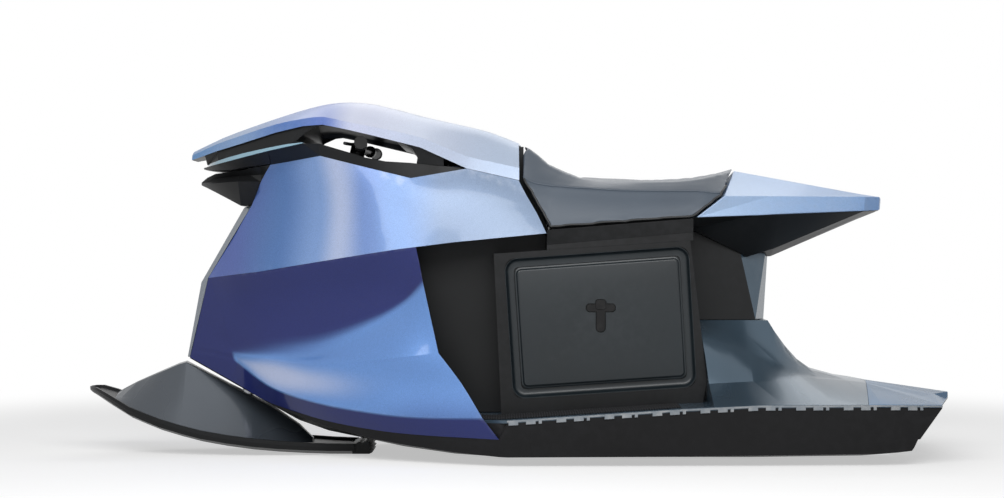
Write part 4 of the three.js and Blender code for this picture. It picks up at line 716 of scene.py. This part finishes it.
slate = moulded_skin(
    "slate_panel", SLATE, (0.07, 0.08, 0.09, 1), 0.34, wear=0.3, specular=0.35, coat=0.15,
    coat_roughness=0.2,
)


def rounded_plate(corners, radius, height, segments=8):
    """A bmesh with one face: the outline with its corners rounded, lying at y = height."""
    shape = bmesh.new()
    ring = [shape.verts.new((x, height, z)) for x, z in corners]
    shape.faces.new(ring)
    bmesh.ops.bevel(
        shape, geom=ring, offset=radius, offset_type="OFFSET", segments=segments, profile=0.5,
        affect="VERTICES", material=-1, clamp_overlap=True,
    )
    face = max(shape.faces, key=lambda each: each.calc_area())
    if face.normal.y < 0:
        bmesh.ops.reverse_faces(shape, faces=[face])
    return shape, face


def raised_face(shape, face, height):
    """Extrudes a face outboard by a height, and gives its moved copy."""
    lifted = bmesh.ops.extrude_face_region(shape, geom=[face])
    front = next(item for item in lifted["geom"] if isinstance(item, bmesh.types.BMFace))
    bmesh.ops.translate(shape, vec=(0, height, 0), verts=front.verts)
    return front


def step_in(shape, face, inward, outward):
    """Insets a face and raises or sinks its middle."""
    shape.normal_update()
    bmesh.ops.inset_region(shape, faces=[face], thickness=inward, depth=outward,
                           use_even_offset=True, use_boundary=True)


def finish_plate(shape, side, sharp=35.0):
    """Mirrors a plate for the starboard side, turns its faces outwards and shades it."""
    if side == "starboard":
        bmesh.ops.scale(shape, vec=(1, -1, 1), verts=shape.verts)
    bmesh.ops.recalc_face_normals(shape, faces=shape.faces)
    shade_by_angle(shape, sharp)


def applied_mesh(worked):
    """The mesh of an object with its modifiers applied."""
    ready = worked.evaluated_get(bpy.context.evaluated_depsgraph_get())
    return bpy.data.meshes.new_from_object(ready)


def pocket_outlines():
    """The outline and corner radius of each part of the latch's T, with the pocket's margin."""
    count = len(HATCH_CORNERS)
    x = sum(corner[0] for corner in HATCH_CORNERS) / count
    z = sum(corner[1] for corner in HATCH_CORNERS) / count + LATCH_RISE
    outlines = []
    for half, foot, head, radius in LATCH_PARTS:
        reach = half + POCKET_MARGIN
        top, bottom = z + head + POCKET_MARGIN, z + foot - POCKET_MARGIN
        outline = ((x + reach, top), (x - reach, top), (x - reach, bottom), (x + reach, bottom))
        outlines.append((outline, radius + POCKET_MARGIN))
    return outlines


def hatch_mesh(side):
    """A plate that rises from its back, rounds over and crowns, with its latch pocket cut."""
    shape, back = rounded_plate(HATCH_CORNERS, HATCH_CORNER_RADIUS, HATCH_BACK)
    front = raised_face(shape, back, HATCH_FACE - HATCH_SHOULDER - HATCH_BACK)
    for inward, outward in HATCH_EDGE:
        step_in(shape, front, inward, outward)
    finish_plate(shape, "port")
    plate = new_object("hatch_plate", finished_mesh("hatch_plate", shape))
    cutters = []
    for corners, radius in pocket_outlines():
        shape, floor = rounded_plate(corners, radius, HATCH_FACE - POCKET_DEPTH, segments=6)
        raised_face(shape, floor, POCKET_CUT)
        bmesh.ops.recalc_face_normals(shape, faces=shape.faces)
        cutter = new_object("latch_pocket", finished_mesh("latch_pocket", shape))
        cut = plate.modifiers.new("pocket", "BOOLEAN")
        cut.operation = "DIFFERENCE"
        cut.solver = "EXACT"
        cut.object = cutter
        cutters.append(cutter)
    done = applied_mesh(plate)
    for used in (plate, *cutters):
        bpy.data.objects.remove(used)
    shape = bmesh.new()
    shape.from_mesh(done)
    bmesh.ops.remove_doubles(shape, verts=shape.verts, dist=POCKET_WELD)
    finish_plate(shape, side, sharp=POCKET_SHARP)
    return finished_mesh("hatch_cover", shape)


# The trim's outline stands a margin outside the cover's. Its cove steps in and down from a
# low lip to a flat floor, which stops 1.2 mm short of the cover and leaves the shut line.
TRIM_MARGIN = 0.0285
TRIM_RADIUS = 0.040
COVE = ((0.0010, 0.0), (0.0012, -0.0010), (0.0016, -0.0026), (0.0020, -0.0032),
        (0.0026, -0.0030), (0.0034, -0.0022), (0.0040, -0.0012), (0.0050, -0.0003))
TRIM_FLOOR = 0.0065
SPINE_FACE = 0.2620
TRIM_FOOT = SPINE_FACE - 0.0150
TRIM_LIP = SPINE_FACE + 0.0006


def grown(corners, margin):
    """The outline with each of its sides moved out squarely by a margin."""
    moved = []
    for i, corner in enumerate(corners):
        here = Vector(corner)
        before = (here - Vector(corners[i - 1])).normalized()
        after = (Vector(corners[(i + 1) % len(corners)]) - here).normalized()
        moved.append(tuple(here + (before - after) * margin / abs(before.cross(after))))
    return moved


def trim_mesh(side):
    """A ring round the hatch whose cove falls from the spine's side to the bay's ledge."""
    outline = grown(HATCH_CORNERS, TRIM_MARGIN)
    shape, face = rounded_plate(outline, TRIM_RADIUS, TRIM_FOOT, segments=12)
    front = raised_face(shape, face, TRIM_LIP - TRIM_FOOT)
    total = 0.0
    for inward, outward in (*COVE, (TRIM_FLOOR, 0.0)):
        step_in(shape, front, inward, outward)
        total += inward
    step_in(shape, face, total, 0.0)
    loops = [*front.edges, *face.edges]
    bmesh.ops.delete(shape, geom=[front, face], context="FACES_ONLY")
    bmesh.ops.bridge_loops(shape, edges=loops)
    finish_plate(shape, side)
    return finished_mesh("hatch_trim", shape)


RUBBER_BLACK = (0.0080, 0.0080, 0.0085, 1)
moulded_rubber = moulded_skin(
    "moulded_rubber", RUBBER_BLACK, (0.05, 0.05, 0.05, 1), 0.55, specular=0.2,
    peel_scale=700.0, peel_depth=0.0001,
)
for side in ("port", "starboard"):
    cover = place_piece("hatch_cover_" + side, hatch_mesh(side), "hatch_" + side, "slate", slate)
    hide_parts("hatch_" + side)
    round_edges(cover, 0.0006, 30)
    place_piece("hatch_trim_" + side, trim_mesh(side), "craft", "slate", slate)
    skin_copy("hatch_latch_" + side, "hatch_" + side, "rubber", moulded_rubber, edge=0.002)

# ---------------------------------------------------------------------------
# Foot floors: closed-cell foam mats with ribs moulded across the foot, glued to the deck
# behind the leg shields.
RIB_PITCH = 0.007544
WAVE_TURN = 20.0            # radians of the wave texture to a metre, at a scale of 1
FOAM_GROOVE_SHADE = (0.010, 0.010, 0.011, 1)
FOAM_CREST_LIGHT = (0.030, 0.031, 0.034, 1)


def ribbed_foam():
    """Dark foam sheet with ribs across the foot and a fine closed-cell grain; its ribs are lighter
    on their crests and darker in their grooves, painted light and shade.
    """
    material, tree = material_graph("ribbed_foam")
    out = add_node(tree, "ShaderNodeOutputMaterial")
    foam = add_node(tree, "ShaderNodeBsdfPrincipled",
                    {"Roughness": 0.85, "Specular IOR Level": 0.2})
    place = add_node(tree, "ShaderNodeTexCoord")
    ribs = add_node(tree, "ShaderNodeTexWave", {"Scale": math.tau / WAVE_TURN / RIB_PITCH},
                    bands_direction="X")
    grain = add_node(tree, "ShaderNodeTexNoise", {"Scale": 900.0, "Detail": 3.0})
    height = add_node(tree, "ShaderNodeMath", {1: 0.12}, operation="MULTIPLY_ADD")
    # Painted shade: the tone follows the ribs, darker in their grooves and lighter on their
    # crests.
    tone = add_node(tree, "ShaderNodeMix", {6: FOAM_GROOVE_SHADE, 7: FOAM_CREST_LIGHT}, data_type="RGBA")
    bump = add_node(tree, "ShaderNodeBump", {"Distance": 0.0015})
    tree.links.new(place.outputs["Object"], ribs.inputs["Vector"])
    tree.links.new(place.outputs["Object"], grain.inputs["Vector"])
    tree.links.new(grain.outputs["Fac"], height.inputs[0])
    tree.links.new(ribs.outputs["Fac"], height.inputs[2])
    tree.links.new(height.outputs[0], bump.inputs["Height"])
    tree.links.new(ribs.outputs["Fac"], tone.inputs[0])
    tree.links.new(tone.outputs[2], foam.inputs["Base Color"])
    tree.links.new(bump.outputs["Normal"], foam.inputs["Normal"])
    tree.links.new(foam.outputs[0], out.inputs["Surface"])
    return material


foam = ribbed_foam()
for side in ("port", "starboard"):
    skin_copy("traction_mat_" + side, "craft", "rubber", foam, edge=0.0015)

# ---------------------------------------------------------------------------
# Rub rails: a pale grey extrusion along each gunwale, held by a row of short clips below
# its lip and rubbed lighter along its edges.
RAIL_GREY = (0.24, 0.27, 0.30, 1)
rail_grey = moulded_skin("rail_grey", RAIL_GREY, (0.5, 0.5, 0.5, 1), 0.4)
for side in ("port", "starboard"):
    skin_copy("rub_rail_" + side, "craft", "rail", rail_grey, edge=0.0006, angle=30)

# ---------------------------------------------------------------------------
# Handlebar: a satin black alloy stem and bar that turns in the console, with a moulded
# rubber grip on each end and a switch pod clamped inboard of each grip.
skin_copy("handlebar", "handlebar", "black", satin_black, edge=0.001, angle=40)
for side in ("port", "starboard"):
    skin_copy("grip_" + side, "handlebar", "rubber", moulded_rubber, edge=0.002, angle=40)
    skin_copy("control_pod_" + side, "handlebar", "black", satin_black, edge=0.003, angle=40)

# ---------------------------------------------------------------------------
# Saddle: a one-piece moulded foam cushion under stretched vinyl. A welt runs where its
# dished top meets its sides, and the cover is pulled taut between the seams.
SEAT_VINYL = (0.086, 0.108, 0.138, 1)
VINYL_SHIFT = 0.08          # how much its tone drifts, dark and light
SEAT_SHRINK = 0.004         # drawn in by this before it is blown up
SEAT_VOXEL = 0.0075
SEAT_CAP = 0.009            # the furthest that a point of the cover may swell
SEAT_PRESSURE = 4.0
SEAT_TENSION = 15
SWELL_FRAMES = 20
SEAM_HOLD = (0.004, 0.030)  # held at a seam, free this far from it
SEAM_ANGLE = 24.0           # degrees between two panels of the cover
SEAM_STEP = 0.004
SOFTEN_PASSES = 2


def vinyl():
    """Marine vinyl: a leather-like grain, a slow change of gloss and a slight sheen."""
    material, tree = material_graph("seat_vinyl")
    out = add_node(tree, "ShaderNodeOutputMaterial")
    skin = add_node(
        tree, "ShaderNodeBsdfPrincipled",
        {"Specular IOR Level": 0.3, "Coat Weight": 0.1, "Coat Roughness": 0.3},
    )
    place = add_node(tree, "ShaderNodeTexCoord")
    pebble = add_node(tree, "ShaderNodeTexVoronoi", {"Scale": 620.0, "Randomness": 0.9},
                      feature="SMOOTH_F1")
    fine = add_node(tree, "ShaderNodeTexNoise", {"Scale": 1500.0, "Detail": 2.0})
    slow = add_node(tree, "ShaderNodeTexNoise", {"Scale": 6.0, "Detail": 3.0})
    grain = add_node(tree, "ShaderNodeMath", {1: 0.35}, operation="MULTIPLY_ADD")
    gloss = add_node(tree, "ShaderNodeMapRange",
                     {"From Min": 0.3, "From Max": 0.7, "To Min": 0.36, "To Max": 0.46})
    dark = tuple(c * (1 - VINYL_SHIFT) for c in SEAT_VINYL[:3]) + (1,)
    light = tuple(c * (1 + VINYL_SHIFT) for c in SEAT_VINYL[:3]) + (1,)
    tone = add_node(tree, "ShaderNodeMix", {6: dark, 7: light}, data_type="RGBA")
    bump = add_node(tree, "ShaderNodeBump", {"Distance": 0.00018, "Strength": 0.8})
    for texture in (pebble, fine, slow):
        tree.links.new(place.outputs["Object"], texture.inputs["Vector"])
    tree.links.new(fine.outputs["Fac"], grain.inputs[0])
    tree.links.new(pebble.outputs["Distance"], grain.inputs[2])
    tree.links.new(grain.outputs[0], bump.inputs["Height"])
    tree.links.new(slow.outputs["Fac"], gloss.inputs["Value"])
    tree.links.new(slow.outputs["Fac"], tone.inputs[0])
    tree.links.new(tone.outputs[2], skin.inputs["Base Color"])
    tree.links.new(gloss.outputs["Result"], skin.inputs["Roughness"])
    tree.links.new(bump.outputs["Normal"], skin.inputs["Normal"])
    tree.links.new(skin.outputs[0], out.inputs["Surface"])
    return material


def seam_points(shape):
    """Points along the edges where two panels of the cover meet."""
    points = []
    for edge in shape.edges:
        if len(edge.link_faces) == 2 and edge.calc_face_angle(0.0) > math.radians(SEAM_ANGLE):
            first, last = (vert.co for vert in edge.verts)
            count = max(2, int((last - first).length / SEAM_STEP))
            points += [first.lerp(last, i / count) for i in range(count + 1)]
    return points


def cushion_mesh():
    """The CAD cushion drawn in a little, remeshed, and blown up tight between its seams."""
    shape = merged_copy("seat_cushion")
    points = seam_points(shape)
    seams = KDTree(len(points))
    for i, point in enumerate(points):
        seams.insert(point, i)
    seams.balance()
    blank = new_object("cushion_blank", finished_mesh("cushion", shape))
    remesh = blank.modifiers.new("voxels", "REMESH")
    remesh.mode = "VOXEL"
    remesh.voxel_size = SEAT_VOXEL
    relax = blank.modifiers.new("relax", "SMOOTH")
    relax.factor = 0.5
    relax.iterations = 3
    fine = applied_mesh(blank)
    bpy.data.objects.remove(blank)
    shape = bmesh.new()
    shape.from_mesh(fine)
    shape.normal_update()
    for vert in shape.verts:
        vert.co -= vert.normal * SEAT_SHRINK
    shape.to_mesh(fine)
    shape.free()
    cloth_object = new_object("cushion_cover", fine)
    held = cloth_object.vertex_groups.new(name="held")
    start = [vert.co.copy() for vert in fine.vertices]
    for i, place in enumerate(start):
        away = seams.find(place)[2] - SEAT_SHRINK
        hold = 1 - (away - SEAM_HOLD[0]) / (SEAM_HOLD[1] - SEAM_HOLD[0])
        held.add([i], min(1.0, max(0.0, hold)), "REPLACE")
    cloth = cloth_object.modifiers.new("cloth", "CLOTH")
    cloth.settings.use_pressure = True
    cloth.settings.uniform_pressure_force = SEAT_PRESSURE
    cloth.settings.effector_weights.gravity = 0.0
    cloth.settings.vertex_group_mass = "held"
    cloth.settings.tension_stiffness = SEAT_TENSION
    cloth.settings.quality = 4
    cloth.point_cache.frame_start = 1
    cloth.point_cache.frame_end = SWELL_FRAMES
    for number in range(1, SWELL_FRAMES + 1):
        scene.frame_set(number)
    blown = cloth_object.evaluated_get(bpy.context.evaluated_depsgraph_get()).to_mesh()
    places = [vert.co.copy() for vert in blown.vertices]
    cloth_object.modifiers.clear()
    for i, vert in enumerate(fine.vertices):
        move = places[i] - start[i]
        if move.length > SEAT_CAP:
            move *= SEAT_CAP / move.length
        vert.co = start[i] + move
    scene.frame_set(1)
    bpy.data.objects.remove(cloth_object)
    return fine


def soften(mesh):
    """Relaxes a mesh where the simulation left it uneven, and shades it smooth."""
    shape = bmesh.new()
    shape.from_mesh(mesh)
    for _ in range(SOFTEN_PASSES):
        bmesh.ops.smooth_vert(
            shape, verts=shape.verts, factor=0.5, use_axis_x=True, use_axis_y=True, use_axis_z=True
        )
    for face in shape.faces:
        face.smooth = True
    shape.to_mesh(mesh)
    shape.free()


seat_vinyl = vinyl()
cover = cushion_mesh()
soften(cover)
cushion = place_piece("seat_cover", cover, "saddle", "seat", seat_vinyl)
finer = cushion.modifiers.new("finer", "SUBSURF")
finer.levels = finer.render_levels = 1
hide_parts("seat_cushion")

# The welt where the top meets the side, and the seal round the cushion's foot, front to
# rear, each x, y, z in millimetres on the port side.
WELT_LINE = (
    (-8, 236, 862), (-34, 238, 845), (-90, 236, 834), (-185, 236, 828), (-315, 236, 820),
    (-444, 236, 818), (-536, 238, 818), (-604, 243, 812), (-640, 210, 832),
)
SEAL_LINE = (
    (-7, 246, 850), (-30, 255, 812), (-91, 277, 706), (-185, 277, 712), (-315, 275, 722),
    (-444, 272, 732), (-530, 269, 739), (-610, 259, 800), (-642, 190, 831),
)
SEAL_CORNERS = (2, 6)
WELT_RADIUS, SEAL_RADIUS = 0.0022, 0.0035
WELT_STAND, SEAL_STAND = 0.0005, 0.0022     # how far their middles may stand off the cover
CORD_PARTS = 8              # between two points of a line
SEAL_BLACK = (0.012, 0.013, 0.014, 1)
cover_check = bmesh.new()
cover_check.from_mesh(cover)
cover_skin = BVHTree.FromBMesh(cover_check)
cover_check.free()
seal_rubber = moulded_skin(
    "seat_seal_rubber", SEAL_BLACK, (0.03, 0.03, 0.03, 1), 0.5, peel_scale=900.0,
    peel_depth=0.00004,
)


def cord_mesh(name, knots, radius, sharp, stand):
    """A round cord laid along some points, no further off the cover than it may stand."""
    line = bpy.data.curves.new(name, "CURVE")
    line.dimensions, line.bevel_depth, line.bevel_resolution = "3D", radius, 2
    line.use_fill_caps = True
    count = (len(knots) - 1) * CORD_PARTS + 1
    spline = line.splines.new("POLY")
    spline.points.add(count - 1)
    for i, point in enumerate(spline.points):
        wanted = along_line(knots, i / CORD_PARTS, sharp)
        cover_place = cover_skin.find_nearest(wanted)[0]
        away = wanted - cover_place
        if away.length > stand:
            away *= stand / away.length
        point.co = (*(cover_place + away), 1)
    laid = new_object(name, line)
    mesh = applied_mesh(laid)
    bpy.data.objects.remove(laid)
    for face in mesh.polygons:
        face.use_smooth = True
    return mesh


for side, turn in (("port", 1), ("starboard", -1)):
    for name, slot, material, line, radius, sharp, stand in (
        ("seat_welt_", "seat", seat_vinyl, WELT_LINE, WELT_RADIUS, (), WELT_STAND),
        ("seat_seal_", "rubber", seal_rubber, SEAL_LINE, SEAL_RADIUS, SEAL_CORNERS, SEAL_STAND),
    ):
        knots = [Vector((x, y * turn, z)) / 1000 for x, y, z in line]
        cord = cord_mesh(name + side, knots, radius, sharp, stand)
        place_piece(name + side, cord, "saddle", slot, material)

skin_copy("saddle_pan", "saddle", "black", satin_black, edge=0.002)

# ---------------------------------------------------------------------------
# Under the saddle and the tail: the keel that carries the tail, and the tub and rails that
# the saddle closes on, black mouldings bolted to the spine.
skin_copy("tail_keel", "craft", "black", satin_black, edge=0.003)
for node in ("seat_tub", "seat_rail_port", "seat_rail_starboard"):
    skin_copy(node, "craft", "black", satin_black, edge=0.002)

# ---------------------------------------------------------------------------
# Ski: a satin black board turned up at its rim, under a dark polished cowl. Both are fixed
# to the spindle, which turns in the bow.
SKI_GREY = (0.058, 0.070, 0.086, 1)
skin_copy("ski_board", "ski", "black", satin_black, edge=0.003)
ski_gloss = moulded_skin(
    "ski_gloss", SKI_GREY, (0.14, 0.15, 0.16, 1), 0.26, metallic=0.3, coat=0.5,
    coat_roughness=0.08, peel_scale=120.0, wear=0.4,
)
skin_copy("ski_cowl", "ski", "gloss_dark", ski_gloss, edge=0.003)

# ---------------------------------------------------------------------------
# Drive and fittings: cast and turned alloy in, under and behind the hull, and the saddle's
# hinge. The battery is a plain slate block in its bay.
ALLOY = (0.42, 0.43, 0.45, 1)
bare_alloy = moulded_skin(
    "bare_alloy", ALLOY, (0.6, 0.6, 0.6, 1), 0.30, metallic=1.0, wear=0.3
)
finish_cad(
    bare_alloy, "motor_block", "saddle_hinge", "ski_spindle", "jet_duct", "impeller",
    "steering_nozzle", "ride_plate", "intake_grate",
)
finish_cad(slate, "battery_block")
